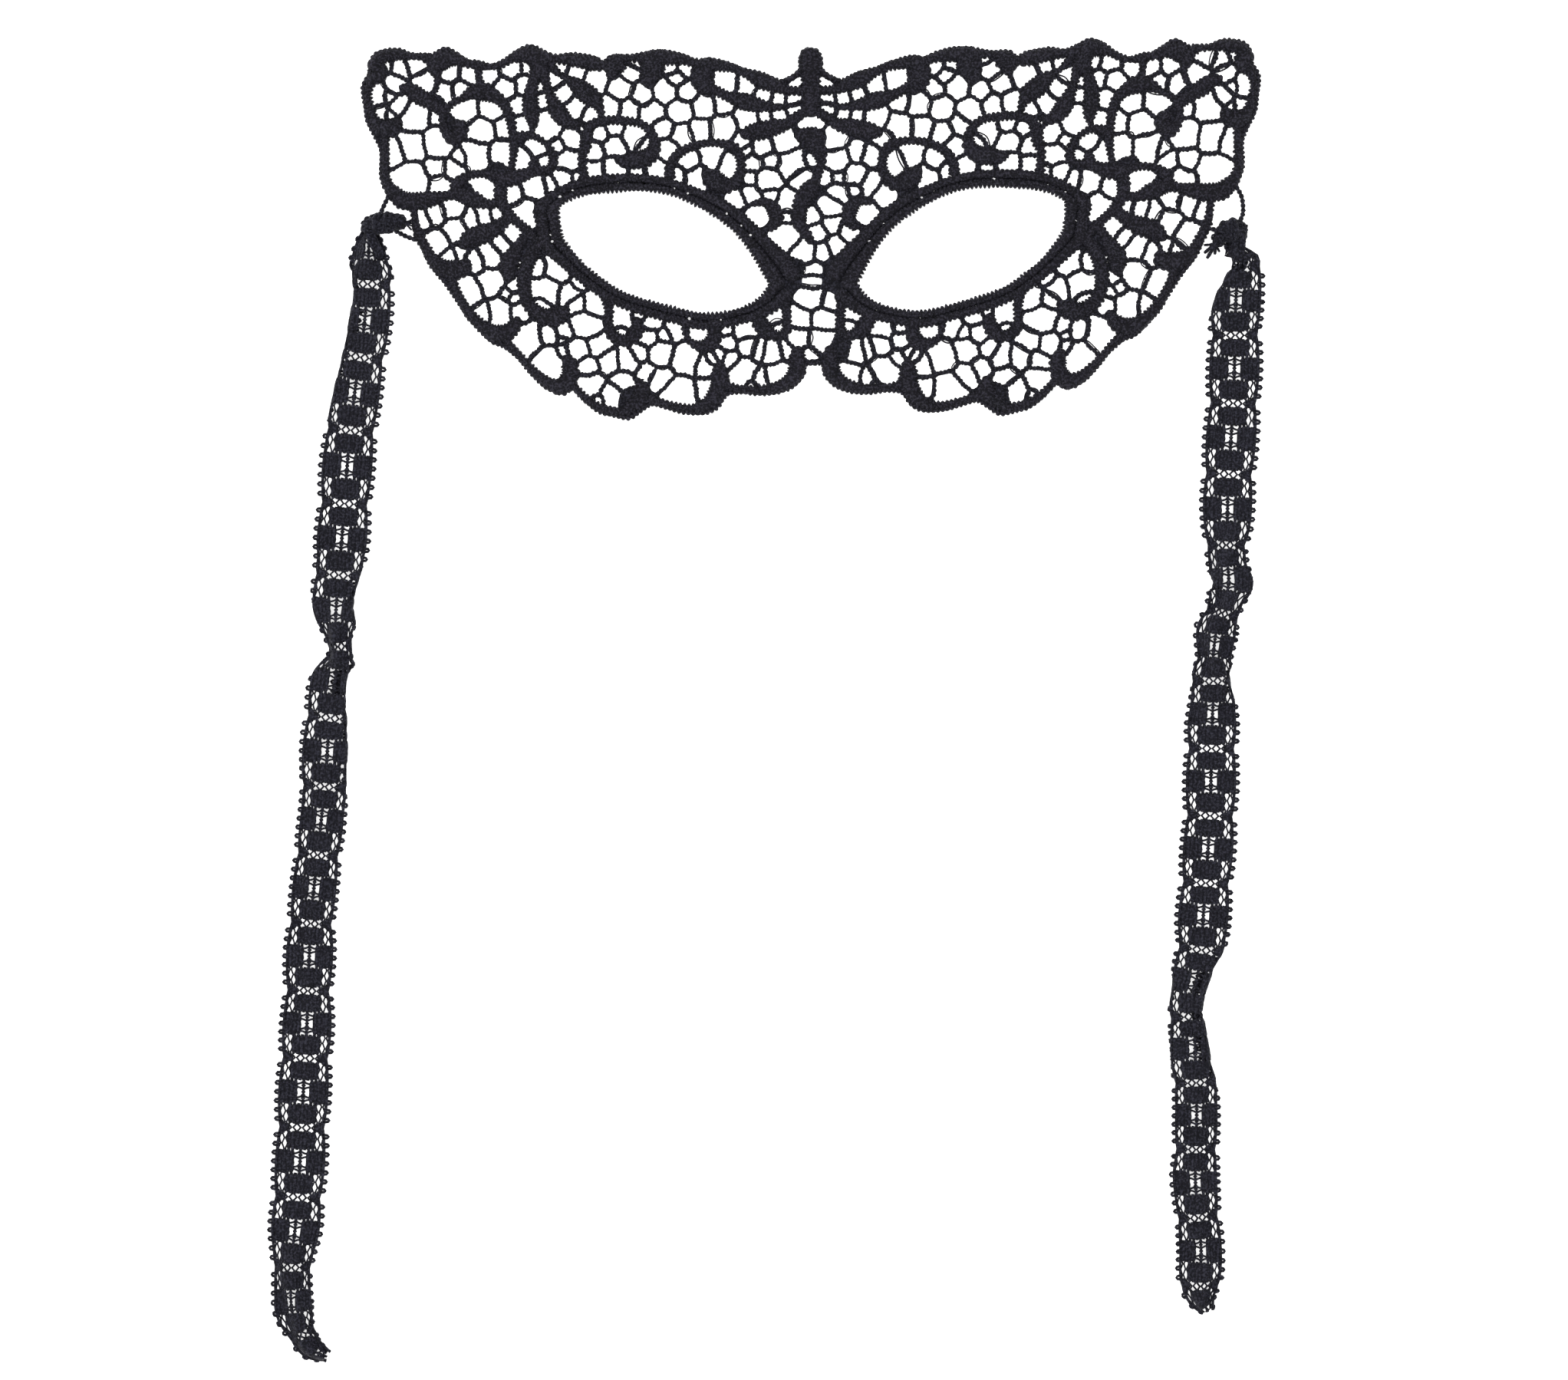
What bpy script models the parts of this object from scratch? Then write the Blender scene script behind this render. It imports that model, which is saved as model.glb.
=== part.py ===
"""Black lace half mask with two lace ties, lying flat.

The mask is one lace panel: a thin net cut through between raised stitched cords, two eye
openings and a thread loop at each temple. A lace tie is knotted on to each loop. The origin
is on the panel's back, under the hub of the bow on the centre line; +Z is up and +Y runs
to the panel's top edge.
"""
import math

import bmesh
import bpy
import numpy as np
from mathutils import Vector

# Panel sizes in metres. The charts below give places in percent of these two.
PANEL_WIDTH = 0.236
PANEL_HEIGHT = 0.097
HUB_UP = 87.0

# Cloth and cord sizes in metres
PLATE_THICKNESS = 0.0010
CORD_WIDTH = 0.0050
RIM_RISE = 0.0010
EDGE_RISE = 0.0008
SCROLL_RISE = 0.0007
LEAF_RISE = 0.0006
BAR_WIDTH = 0.0009
THREAD_THICKNESS = 0.0013
KNOT_THICKNESS = 0.0050
TIE_WIDTH = 0.0136
TIE_THICKNESS = 0.0010
LEFT_TIE_DROP = 0.2922
RIGHT_TIE_DROP = 0.2783
CLEARANCE = 0.0003

# Fineness of the curves
CORD_STEP = 0.0055
LAYER_STEP = 0.000011
CORD_SEAT = 0.0002
EDGE_INSET = 0.0006
GAP_SIDES = 8
CURVE_SAMPLES = 12
RAY_STEPS = 56

RISES = {"rim": RIM_RISE, "edge": EDGE_RISE, "scroll": SCROLL_RISE, "leaf": LEAF_RISE}

LACE_COLOUR = (0.016, 0.016, 0.021, 1.0)
TIE_COLOUR = (0.018, 0.018, 0.026, 1.0)

# Outer edge of the left half: across from the centre line, up from the chin
OUTLINE = (
    (0, 98.1), (1.6, 97.6), (2.4, 94.8), (2.6, 92.4), (6.2, 89.7), (8.6, 90.6), (11.5, 92.0), (15, 93.0),
    (18, 94.5), (22.5, 95.9), (24.7, 95.2), (28, 96.9), (32, 98.0), (36, 97.7), (40, 96.9), (44, 96.9),
    (45.6, 95.3), (48, 96.7), (53, 97.6), (57, 96.8), (59.5, 98.7), (62, 99.9), (65, 98.4), (67.5, 96.3),
    (70.5, 94.8), (74, 95.0), (77, 97.0), (80.5, 99.5), (84, 97.6), (88, 98.0), (91.3, 99.3), (95.5, 98.6),
    (97.3, 96.0), (97.3, 93.5), (99, 89.5), (98.6, 84.0), (98.1, 80.0), (96.5, 76.0), (95.2, 72.0),
    (95.2, 65.0), (93.6, 60.5), (91.5, 57.0), (88.4, 55.8), (87.9, 51.0), (86.5, 47.0), (84.7, 41.5),
    (81.3, 36.2), (78.6, 31.3), (76, 26.6), (71.4, 20.6), (68.5, 19.0), (65.3, 15.8), (62.5, 11.7),
    (59.2, 7.8), (55.5, 6.2), (53.3, 7.4), (50.5, 4.0), (47.5, 1.2), (44.5, 0.2), (41, -0.6), (38.5, 1.2),
    (36, 3.0), (33, 2.2), (29, 0.8), (24.5, 0.5), (21.5, 2.0), (19.3, 5.4), (16, 6.0), (12, 5.5),
    (8, 5.9), (4.5, 7.6), (2.2, 10.8), (1.9, 13.2), (0, 13.4),
)

# Edge of the left eye opening
EYE = (
    (56.8, 54.5), (55, 57.2), (52, 58.6), (49, 60.0), (45, 60.5), (40, 60.8), (35, 60.5), (31, 59.6),
    (28, 58.0), (25, 56.2), (22, 54.2), (19.5, 52.0), (17, 49.6), (15, 46.8), (13.3, 43.5), (11.8, 41.0),
    (10.4, 37.8), (9, 35.0), (10.4, 33.0), (12, 31.2), (14.5, 29.8), (17.5, 28.6), (21, 27.6), (25, 27.4),
    (29, 28.3), (33, 29.8), (37, 31.2), (41, 33.0), (44, 34.6), (47, 37.2), (50, 39.8), (52.5, 42.6),
    (54.4, 45.4), (55.3, 49.0),
)

# Raised cords of the left half: name, kind, widths at its points as shares of CORD_WIDTH, route
SIDE_CORDS = (
    ("rim_brow", "rim", (1.3, .9, .84, .88, .9, .84, .8, .78, .84, .92, 1.0, 1.0, 1.1, 1.3, 1.6, 1.7),
     ((58.9, 55), (57, 58.2), (53.5, 60.6), (49.5, 62), (45, 62.6), (39, 62.8), (34, 62.2), (29.5, 60.8),
      (26, 59), (22.5, 57), (19, 54.4), (16, 51.4), (13.2, 47.8), (10.6, 44), (8, 40), (5.9, 36))),
    ("rim_cheek", "rim", (1.3, 1.2, 1.2, 1.0, .84, .84, .8, .78, .8, .78, .84, .8, .8, .92, 1.1, 1.4),
     ((58.9, 56), (58.3, 51.5), (57.6, 47), (54.8, 43), (51.5, 39), (48, 35.6), (44, 32.3), (39.5, 30),
      (34.5, 28.2), (29.5, 26.6), (25, 25.3), (20.5, 25.5), (16, 26.6), (12.5, 28), (9.5, 30.3), (7, 33.5))),
    ("corner", "edge", (.44, .34, .6, .68, .88, 1.0, .52, .4, .44, .52, .92, .96, .6),
     ((84.5, 97.2), (88, 97.3), (91.5, 97.8), (94.6, 97.1), (95.9, 95), (95.7, 92.8), (97.2, 90.3),
      (97.9, 87), (97.3, 83.5), (96.6, 80.6), (95, 78.4), (92.8, 78.3), (91.2, 79.6))),
    ("temple_edge_upper", "edge", (.44, .4, .44, .56, .7),
     ((94.2, 77), (94.1, 70), (94.3, 66), (93.7, 63), (92.5, 60.5))),
    ("temple_lobe", "scroll", (.7, .84, .9, .76, .5, .76, .84, .52, .48),
     ((93, 61.4), (90.3, 58.9), (87, 58.4), (83.8, 59), (80.6, 59.8), (78, 60.2), (75, 58.9), (72, 57.5),
      (69.5, 57.6))),
    ("top_fan", "leaf", (.28, .4, .84, 1.0, .72, .44, .48, .3, .32, .46, .8, 1.0),
     ((82.9, 88), (82.4, 91.5), (82.8, 94), (81.2, 96.2), (78.6, 96.5), (75.9, 95.3), (73.5, 94.9),
      (70.5, 94.3), (68.3, 94.7), (66, 96.4), (63.5, 97.4), (61.3, 97.2))),
    ("top_link", "edge", (.44, .6), ((85.3, 97), (83.2, 95.4))),
    ("corner_leaf", "leaf", (.3, .72, .84, .64, .6, .5),
     ((90.6, 89.2), (88.4, 88.3), (86.3, 86.4), (84, 84.6), (82, 83), (81.1, 81.5))),
    ("great_scroll", "scroll", (.3, .7, .9, .72, .5, .4, .44, .36, .36, .64, .94, .64, .52, .5, .44, .5,
                                .36, .4, .6),
     ((79.4, 79.2), (77.9, 78.6), (77.8, 76.6), (79.3, 75.3), (80.8, 77), (81.4, 79.6), (81, 82),
      (79.6, 84.2), (77.3, 85.7), (75, 87.4), (72.3, 87.6), (69.3, 85.9), (67.4, 83.4), (66.4, 80),
      (66, 76.5), (65.7, 73), (66, 69.5), (66.3, 66.5), (65.6, 64.6))),
    ("scroll_stalk", "leaf", (.48, .36, .7), ((73.5, 94.3), (73.2, 91), (72.6, 88.3))),
    ("feather_upright", "leaf", (1.0, .9, .6, .76, .84, .64, .26),
     ((60.8, 97.2), (60.2, 94), (61.2, 90.5), (61.9, 86.5), (61.9, 82.8), (61.5, 79.6), (61.6, 77))),
    ("feather_middle", "leaf", (.8, .56, .44, .6, .9, .8, .5, .3),
     ((60, 95.5), (58.9, 92), (58.2, 88.5), (57.2, 85.3), (56, 82.3), (54.4, 79.8), (52.3, 78.3),
      (50.5, 78.8))),
    ("feather_low", "leaf", (.4, .28, .7, 1.0, .9, .5, .34),
     ((57.5, 95), (54.8, 91.6), (52.3, 89.6), (50.2, 87.4), (48, 85.3), (46.8, 83), (46.3, 80.8))),
    ("top_brow", "edge", (.9, .5, .6, .7, .74, .5, .5),
     ((59.5, 96.5), (56.5, 96.2), (53.5, 96), (50.5, 95.4), (48, 94.8), (46.2, 94.2), (44, 94.6))),
    ("top_pad_outer", "leaf", (.4, .8, 1.2, .7), ((43.3, 91), (43.8, 92.8), (43.2, 94.6), (42.8, 95.9))),
    ("top_middle", "edge", (.6, .4, .36, .8, .68, .5, .5, .9),
     ((43, 95.7), (40.5, 96.1), (38, 95.9), (34.8, 96.2), (31, 96), (28, 95.5), (25.5, 94.6), (23.8, 93.8))),
    ("top_pad_middle", "leaf", (.34, .9, 1.2, 1.3, .8),
     ((35.3, 88.3), (35.7, 90), (35.3, 92), (34.8, 94.5), (34.2, 96.2))),
    ("top_pad_inner", "leaf", (.6, 1.0, 1.24, 1.16, .6),
     ((22.8, 86.6), (23.3, 88.3), (23.9, 90.5), (23.6, 93), (22.8, 94.6))),
    ("bow_upper", "leaf", (.5, .54, .44, .46, .84, .7, .5, .46, .6),
     ((24, 94), (20, 93.8), (17, 93.1), (14, 91.5), (11, 89.8), (8, 88.4), (5, 87.1), (3, 86.9), (1, 87))),
    ("bow_lower", "leaf", (.5, .5, .64, .9, .74, .5, .34, .24, .24, .5),
     ((21.5, 87.6), (19, 86), (17, 85), (14.8, 84.2), (12, 83.3), (9.5, 82.8), (7, 82.5), (4.5, 83),
      (2.4, 83.9), (.8, 84.4))),
    ("bow_feeler", "leaf", (.5, .8, .94, .84, .6, .5, .5),
     ((15, 75.3), (13.5, 75.8), (11, 76.3), (8, 77.2), (5.5, 78), (3.6, 79.7), (1, 81.5))),
    ("bow_strand", "edge", (.24, .26, .3), ((6.4, 89.4), (4, 90.5), (2.2, 92.2))),
    ("inner_scroll", "scroll", (.5, 1.0, 1.0, .7, .6, .48, .5, .56, .4, .4, .44, .5, .5, .6),
     ((23.6, 65.3), (22.3, 63.8), (20.4, 62.2), (18, 61.8), (16.3, 63.6), (15.6, 66.5), (15.9, 69.5),
      (17.4, 71.9), (20.4, 73.1), (24, 73), (27.5, 71.7), (30, 69.7), (31.3, 67), (31.4, 64.3))),
    ("brow_scroll", "scroll", (.3, .7, .92, .9, .74, .56, .46, .4, .44, .46, .5, .62, .6, .42, .44, .5),
     ((43.4, 69.4), (41.5, 68.6), (39, 68.8), (36.6, 69.4), (35, 71.3), (34.7, 73.8), (35.6, 76.5),
      (37.8, 78.6), (41.5, 79.4), (45.5, 79.5), (48.6, 78.3), (49.6, 75.5), (50, 72.5), (50.8, 69.5),
      (50.5, 66.5), (50.4, 64))),
    ("temple_hook", "scroll", (.5, .7, .44, .4, .5, .8, .7, .5, .44, .5, .44, .3, .4, .6),
     ((79, 61), (78.2, 63), (76, 65), (73, 65.6), (70, 65), (67, 64.2), (64, 65), (61, 66.3), (58.2, 66.6),
      (57.1, 68.5), (57.3, 71), (58.8, 73.6), (61.8, 75.7), (64.8, 75.2))),
    ("temple_bud", "leaf", (.6, .6, .3), ((61.3, 65.8), (61.3, 68), (61.2, 69.8))),
    ("temple_sweep", "scroll", (.6, .7, .6, .56, .46, .5, .5, .6),
     ((68.2, 64.3), (68.8, 61), (68.5, 57.8), (67, 54.6), (65, 52.3), (63, 50.2), (61.3, 48), (59.8, 46.5))),
    ("temple_leaf", "leaf", (.6, .94, 1.0, .8, .6, .5),
     ((77.3, 46.6), (75.6, 48.3), (73, 49.3), (70.2, 50.8), (67.8, 53), (67.2, 54.8))),
    ("temple_edge_lower", "edge", (.34, .36, .5, .5, .56, .8, 1.0, .84, .6),
     ((88.2, 57), (87.7, 53), (87, 49.5), (85.5, 46), (84, 43), (82, 40.8), (79.5, 39.8), (77.2, 40.4),
      (76.6, 42))),
    ("cheek_edge_outer", "edge", (.5, .4, .44, .54, .6, .84, .92, .72, .44),
     ((79.8, 38), (79, 35), (77.5, 31.2), (75.9, 28), (73.5, 25), (71, 22.9), (68.3, 22.6), (66.2, 24.4),
      (65.2, 26.4))),
    ("cheek_edge_a", "edge", (.4, .34, .36, .46, .6, .8, .94, .84, .8, .4),
     ((67.8, 20.3), (65.6, 17.6), (63.4, 14.4), (61, 11.4), (58.8, 9.2), (56.6, 8.2), (54.7, 9.2),
      (53.8, 11.8), (54.1, 14.4), (55, 16))),
    ("cheek_edge_b", "edge", (.4, .38, .4, .4, .42, .5, .76, .96, .7, .3),
     ((53.2, 8.3), (51.3, 5.9), (49.3, 3.8), (47, 2.3), (44.5, 1.5), (42, 1.3), (40, 3), (38.3, 5.2),
      (38.2, 7.8), (38.8, 9.8))),
    ("cheek_edge_c", "edge", (.5, .38, .4, .42, .6, .84, .94, .9, .5),
     ((36.3, 4.6), (33.3, 3.4), (30, 2.3), (27, 1.9), (24.3, 2.6), (22.2, 4.8), (20.9, 8), (20.8, 11.2),
      (20.7, 13.6))),
    ("chin_edge", "edge", (.5, .4, .42, .52, .66, .8, .84, .78, .5),
     ((20.5, 8.3), (17, 7.1), (13, 6.7), (9.5, 7), (6.4, 8.3), (4.4, 10.5), (3.7, 13.3), (3.6, 16),
      (3.4, 17.6))),
    ("cheek_scroll", "scroll", (.6, .7, .74, .76, .7, .66, .72, .86, 1.0, .7, .3),
     ((60.3, 46.4), (62, 43.6), (63.2, 40.6), (63.8, 37.2), (63.7, 34), (63.1, 31), (61.5, 28.6),
      (59.3, 27), (57, 26.9), (55.3, 28), (54.3, 29.6))),
    ("cheek_bud", "leaf", (.5, .5, .8, 1.0, .84, .3),
     ((63.3, 49.2), (64.7, 46.8), (65.8, 44.3), (67.2, 41.2), (67.2, 38.5), (67.6, 36.4))),
    ("cheek_drop_outer", "scroll", (.5, .48, .44, .6, .6, .7, .74, .5),
     ((46, 32.5), (45.2, 29), (45.2, 25.3), (44.7, 22.3), (42.6, 20.5), (40.2, 20.9), (39.1, 23.2),
      (39, 25.8))),
    ("cheek_drop_middle", "scroll", (.36, .3, .36, .6, .84, .74, .8),
     ((28.6, 24.8), (28.3, 22), (27.2, 19.8), (25, 18.6), (22.8, 19.2), (21.8, 21.7), (22, 24.5))),
    ("cheek_drop_inner", "scroll", (.6, .84, .76, .5, .5, .46, .5, .6),
     ((12.6, 27), (11.7, 24.5), (10.3, 22.3), (8, 21.1), (6.2, 22.2), (5.9, 25), (6, 28), (6.5, 31))),
    ("nose_leaf", "leaf", (.32, .5, .76, .7, .36),
     ((13, 56.8), (10.3, 57), (8.5, 55), (8, 52.3), (9.3, 49.8))),
)

# Raised cords on the centre line, where left of it is positive
CENTRE_CORDS = (
    ("bow_hub", "edge", (1.1, 1.14, .96, .94, .9, .9), ((0, 96.6), (0, 94), (0, 91), (0, 87), (0, 84), (0, 81.5))),
    ("nose_bud", "leaf", (.6, .9, 1.0, .6), ((2.9, 75), (1.2, 74.7), (-.8, 74.4), (-2.6, 74.2))),
    ("nose_stem", "scroll", (1.2, .8, .5, .4, .5, .9, .9, .8, .8, .56, .5, .3),
     ((-.6, 73), (-1.6, 70.4), (-2.1, 67.6), (-1.6, 65), (-.9, 63), (.4, 60.6), (1.9, 58), (2.8, 55),
      (3, 52), (2.2, 49.6), (1, 47.8), (.3, 46))),
)

# Gaps cut through the net, left half: across, up, and mean radius as a share of CORD_WIDTH
SIDE_GAPS = (
    (95.8, 87.2, .46), (85.2, 90.3, .44), (87.5, 81.3, .64), (76.4, 82.2, .52), (72.8, 77.1, .56),
    (92.2, 71.4, .50), (88.2, 72.9, .62), (82.7, 73.9, .62), (74, 70.5, .62), (68.5, 70.7, .54),
    (88.8, 64.3, .76), (82, 67, .44), (73, 61.5, .56), (78.9, 50.2, .54), (82.6, 47.2, .48),
    (71.2, 43.4, .48), (71.3, 36.5, .56), (76, 34, .56), (63.5, 55.1, .52), (61.4, 61.7, .44),
    (56.7, 39.9, .52), (59.3, 34, .58), (69.5, 28.3, .60), (48.4, 30.2, .46), (63.3, 20.3, .68),
    (58.7, 14.7, .64), (50.2, 24.8, .60), (49.3, 8.6, .52), (45.2, 14.6, .46), (41.4, 14.8, .50),
    (44.8, 5.8, .46), (42.2, 27, .50), (33.7, 16.7, .54), (33.6, 10.3, .46), (28.3, 14.8, .64),
    (29.8, 6.4, .66), (15.7, 11.7, .58), (58.2, 78.2, .58), (50.2, 81.9, .58), (47.3, 90.3, .48),
    (42.1, 88.1, .48), (53.7, 69, .46), (32.3, 87, .46), (35.1, 81.4, .50), (28.8, 82, .50),
    (23.8, 83, .52), (28.6, 75.2, .46), (24.4, 76.8, .46), (19.4, 77, .56), (19, 89.6, .48),
    (14.5, 79.5, .46), (43.6, 72.6, .44), (39.3, 75.2, .44), (22, 69.3, .48), (9.6, 62.8, .48),
)

# Gaps near the centre line, where left of it is positive
CENTRE_GAPS = (
    (-.3, 78.6, .40), (4.5, 67.3, .56), (-5.5, 68.5, .52), (6, 48, .52), (-6.4, 47.6, .48), (-2.8, 50, .44),
    (.3, 37.7, .44), (.3, 31, .46), (2.8, 25.9, .44), (-2.3, 25.4, .48), (3.5, 20.4, .46), (-2.4, 20.1, .46),
)

# Thread loops at the temples: across, up, height as a share of KNOT_THICKNESS
LEFT_LOOP = ((93.2, 60.6, .15), (94.5, 57.4, .18), (95.1, 55, .34), (94.3, 52.8, .5), (92.6, 50.9, .42),
             (90.2, 49.2, .18), (87.2, 47.8, .15))
RIGHT_LOOP = ((93.2, 60.6, .15), (94.7, 57.4, .18), (95.1, 54, .22), (94.7, 51.4, .4), (93, 48.9, .55),
              (90.6, 48, .5), (88.7, 48.3, .24), (86.8, 48.8, .15))

# Knots: across, up, thickness as a share of KNOT_THICKNESS
LEFT_KNOT = ((89.9, 52.5, .50), (91, 52.7, .86), (93, 52.6, .98), (95.2, 52.3, 1.0), (97, 52, .92),
             (98, 51.3, .82), (98.05, 50.5, .72))
RIGHT_KNOT = ((88.9, 44.5, .40), (89.9, 46.2, .76), (91.3, 47.7, 1.04), (93, 48, 1.1), (94, 47, .96),
              (93.8, 46, .84), (93.5, 45.5, .76))

# Ties: down and sideways as shares of the tie's drop, width as a share of TIE_WIDTH, roll in degrees
LEFT_TIE = (
    (0, 0, .34, 0), (.023, .0010, .56, 0), (.058, -.0015, .66, 6), (.097, -.0062, .76, 8),
    (.127, -.0118, .85, 4), (.165, -.0166, .94, 0), (.202, -.0210, .99, 0), (.240, -.0242, .87, 0),
    (.275, -.0272, .93, 0), (.305, -.0297, .74, 6), (.333, -.0320, .72, 14), (.356, -.0312, .62, 34),
    (.371, -.0296, .56, 46), (.389, -.0322, .60, 32), (.407, -.0352, .66, 16), (.445, -.0402, .80, 4),
    (.483, -.0432, .76, 0), (.520, -.0474, .80, 0), (.566, -.0530, .80, 0), (.609, -.0578, .78, 0),
    (.641, -.0598, .90, 0), (.675, -.0616, .76, 0), (.707, -.0630, .92, 0), (.737, -.0650, .88, 0),
    (.763, -.0668, 1.0, 0), (.795, -.0694, .90, 0), (.825, -.0704, .98, 0), (.853, -.0736, .82, 0),
    (.880, -.0748, .98, 0), (.907, -.0776, .74, 10), (.926, -.0786, .74, 14), (.945, -.0786, .72, 18),
    (.957, -.0780, .68, 20), (.970, -.0750, .60, 24), (.983, -.0690, .58, 26), (.993, -.0610, .48, 20),
    (1.0, -.0470, .18, 0),
)
RIGHT_TIE = (
    (0, 0, .28, 0), (.017, .0040, .48, 0), (.034, .0030, .72, 0), (.056, .0002, .88, 0),
    (.075, -.0016, .90, 0), (.091, -.0014, .84, 0), (.114, -.0022, .93, 0), (.150, -.0042, .88, 0),
    (.187, -.0078, .96, 0), (.221, -.0097, .86, 0), (.245, -.0108, .92, 0), (.264, -.0116, .84, 6),
    (.286, -.0130, .70, 14), (.319, -.0114, .66, 20), (.346, -.0176, .64, 22), (.363, -.0232, .74, 14),
    (.388, -.0260, .62, 34), (.401, -.0266, .62, 26), (.419, -.0266, .68, 10), (.437, -.0272, .84, 0),
    (.465, -.0282, .88, 0), (.507, -.0294, .96, 0), (.540, -.0308, .86, 0), (.571, -.0332, .97, 0),
    (.603, -.0356, .85, 0), (.631, -.0380, .95, 0), (.655, -.0396, .86, 4), (.672, -.0420, .72, 14),
    (.689, -.0456, .64, 30), (.701, -.0490, .60, 38), (.718, -.0496, .60, 30), (.736, -.0478, .60, 16),
    (.768, -.0474, .68, 8), (.808, -.0466, .79, 0), (.837, -.0476, .78, 0), (.853, -.0476, .70, 0),
    (.875, -.0486, .80, 0), (.905, -.0466, .76, 0), (.940, -.0440, .76, 0), (.970, -.0450, .80, 0),
    (.986, -.0440, .55, 0), (1.0, -.0380, .20, 0),
)


def new_collection(name, hidden=False):
    """A collection in the scene; a hidden one holds only cutters and joined pieces."""
    collection = bpy.data.collections.new(name)
    collection.hide_render = hidden
    bpy.context.scene.collection.children.link(collection)
    return collection


def new_material(name, colour, roughness):
    """A plain cloth material."""
    material = bpy.data.materials.new(name)
    material.use_nodes = True
    shader = material.node_tree.nodes["Principled BSDF"]
    shader.inputs["Base Color"].default_value = colour
    shader.inputs["Roughness"].default_value = roughness
    shader.inputs["Metallic"].default_value = 0.0
    return material


def place(across, up, side):
    """A chart place in metres; side is -1 for the left half and 1 for the right."""
    return (side * across / 100 * PANEL_WIDTH / 2, (up - HUB_UP) / 100 * PANEL_HEIGHT)


def spline_points(points, step, closed=False):
    """Points evenly spaced, about a step apart, on a smooth curve through the given rows of numbers."""
    rows = np.array(points, dtype=float)
    if closed:
        padded = np.vstack((rows[-1], rows, rows[0], rows[1]))
    else:
        padded = np.vstack((2 * rows[0] - rows[1], rows, 2 * rows[-1] - rows[-2]))
    t = np.linspace(0, 1, CURVE_SAMPLES, endpoint=False)[:, None]
    dense = []
    for before, first, last, after in zip(padded, padded[1:], padded[2:], padded[3:]):
        dense.append(0.5 * (2 * first + (last - before) * t
                            + (2 * before - 5 * first + 4 * last - after) * t ** 2
                            + (3 * first - before - 3 * last + after) * t ** 3))
    dense = np.vstack((*dense, padded[-2:-1]))
    along = np.concatenate(([0.0], np.cumsum(np.hypot(*np.diff(dense[:, :2], axis=0).T))))
    count = max(3, round(along[-1] / step) + 1)
    stops = np.linspace(0, along[-1], count)[:-1 if closed else None]
    return np.column_stack([np.interp(stops, along, column) for column in dense.T])


def cord_path(widths, route, side, step):
    """The centre line of a cord: rows of x, y and half width."""
    rows = [(*place(across, up, side), width * CORD_WIDTH / 2)
            for (across, up), width in zip(route, widths)]
    path = spline_points(rows, step)
    path[:, 2] = np.maximum(path[:, 2], 0.1 * CORD_WIDTH)
    return path


def normals(path):
    """Unit normals, to the left of the way along the path."""
    ahead = np.gradient(path[:, :2], axis=0)
    ahead /= np.linalg.norm(ahead, axis=1)[:, None]
    return np.column_stack((-ahead[:, 1], ahead[:, 0]))


def clear_of_path(points, path):
    """Leaves out points that fall inside the band itself where it curls tightly."""
    kept = []
    for point in points:
        reach = np.hypot(path[:, 0] - point[0], path[:, 1] - point[1]) - path[:, 2]
        if reach.min() > -0.06 * CORD_WIDTH:
            kept.append(point)
    return kept


def cord_outline(path):
    """The closed outline of a cord with round ends."""
    across = normals(path)
    centre = path[:, :2]
    half = path[:, 2:3]
    left = clear_of_path(centre + across * half, path)
    right = clear_of_path(centre - across * half, path)
    ends = []
    for index, turn in ((-1, 1), (0, -1)):
        along = turn * np.array((across[index][1], -across[index][0]))
        ends.append([centre[index] + half[index] * (0.94 * along * 0.8 + turn * shift * across[index])
                     for shift in (0.6, -0.6)])
    return left + ends[0] + right[::-1] + ends[1]


def cells_of(rows, sides):
    """Net cells as rows of x, y and radius."""
    return [(*place(across, up, side), radius * CORD_WIDTH) for across, up, radius in rows for side in sides]


def edge_rows(chart, side):
    """A charted edge in metres."""
    return [place(across, up, side) for across, up in chart]


def inset(points, amount):
    """A closed outline moved to its left by an amount."""
    rows = np.array(points)
    ahead = np.roll(rows, -1, axis=0) - np.roll(rows, 1, axis=0)
    ahead /= np.linalg.norm(ahead, axis=1)[:, None]
    return rows + amount * np.column_stack((-ahead[:, 1], ahead[:, 0]))


def gap_outline(cell, others, paths, edge):
    """The outline of one gap: it reaches out to the bars, the cords and the panel's edge."""
    centre = np.array(cell[:2])
    reaches = np.linspace(0.25, 1.9, RAY_STEPS) * cell[2]
    angles = np.arange(GAP_SIDES) * 2 * math.pi / GAP_SIDES
    rays = np.column_stack((np.cos(angles), np.sin(angles)))
    places = centre + rays[:, None, :] * reaches[None, :, None]
    flat = places.reshape(-1, 2)

    def room(rows, allowance):
        """How far each place is from the nearest of some round rows."""
        near = rows[np.hypot(*(rows[:, :2] - centre).T) < 6 * cell[2] + rows[:, 2].max()]
        if not len(near):
            return np.full(len(flat), 1.0)
        away = np.hypot(flat[:, None, 0] - near[None, :, 0], flat[:, None, 1] - near[None, :, 1])
        return (away - near[None, :, 2]).min(axis=1) - allowance

    own = np.tile(reaches - cell[2], GAP_SIDES)
    blocked = (room(others, BAR_WIDTH) < own) | (room(paths, 0.0) < 0) | (room(edge, 0.0) < 0)
    blocked = blocked.reshape(GAP_SIDES, -1)
    first = np.where(blocked.any(axis=1), blocked.argmax(axis=1), RAY_STEPS) - 1
    if (first < 1).any():
        first = np.maximum(first, 1)
        if blocked[:, :2].any(axis=1).mean() > 0.3:
            return None
    radius = reaches[np.minimum(first, RAY_STEPS - 1)]
    smooth = (np.roll(radius, 1) + 4 * radius + np.roll(radius, -1)) / 6
    radius = np.minimum(radius, smooth)
    return centre + rays * radius[:, None]


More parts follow.
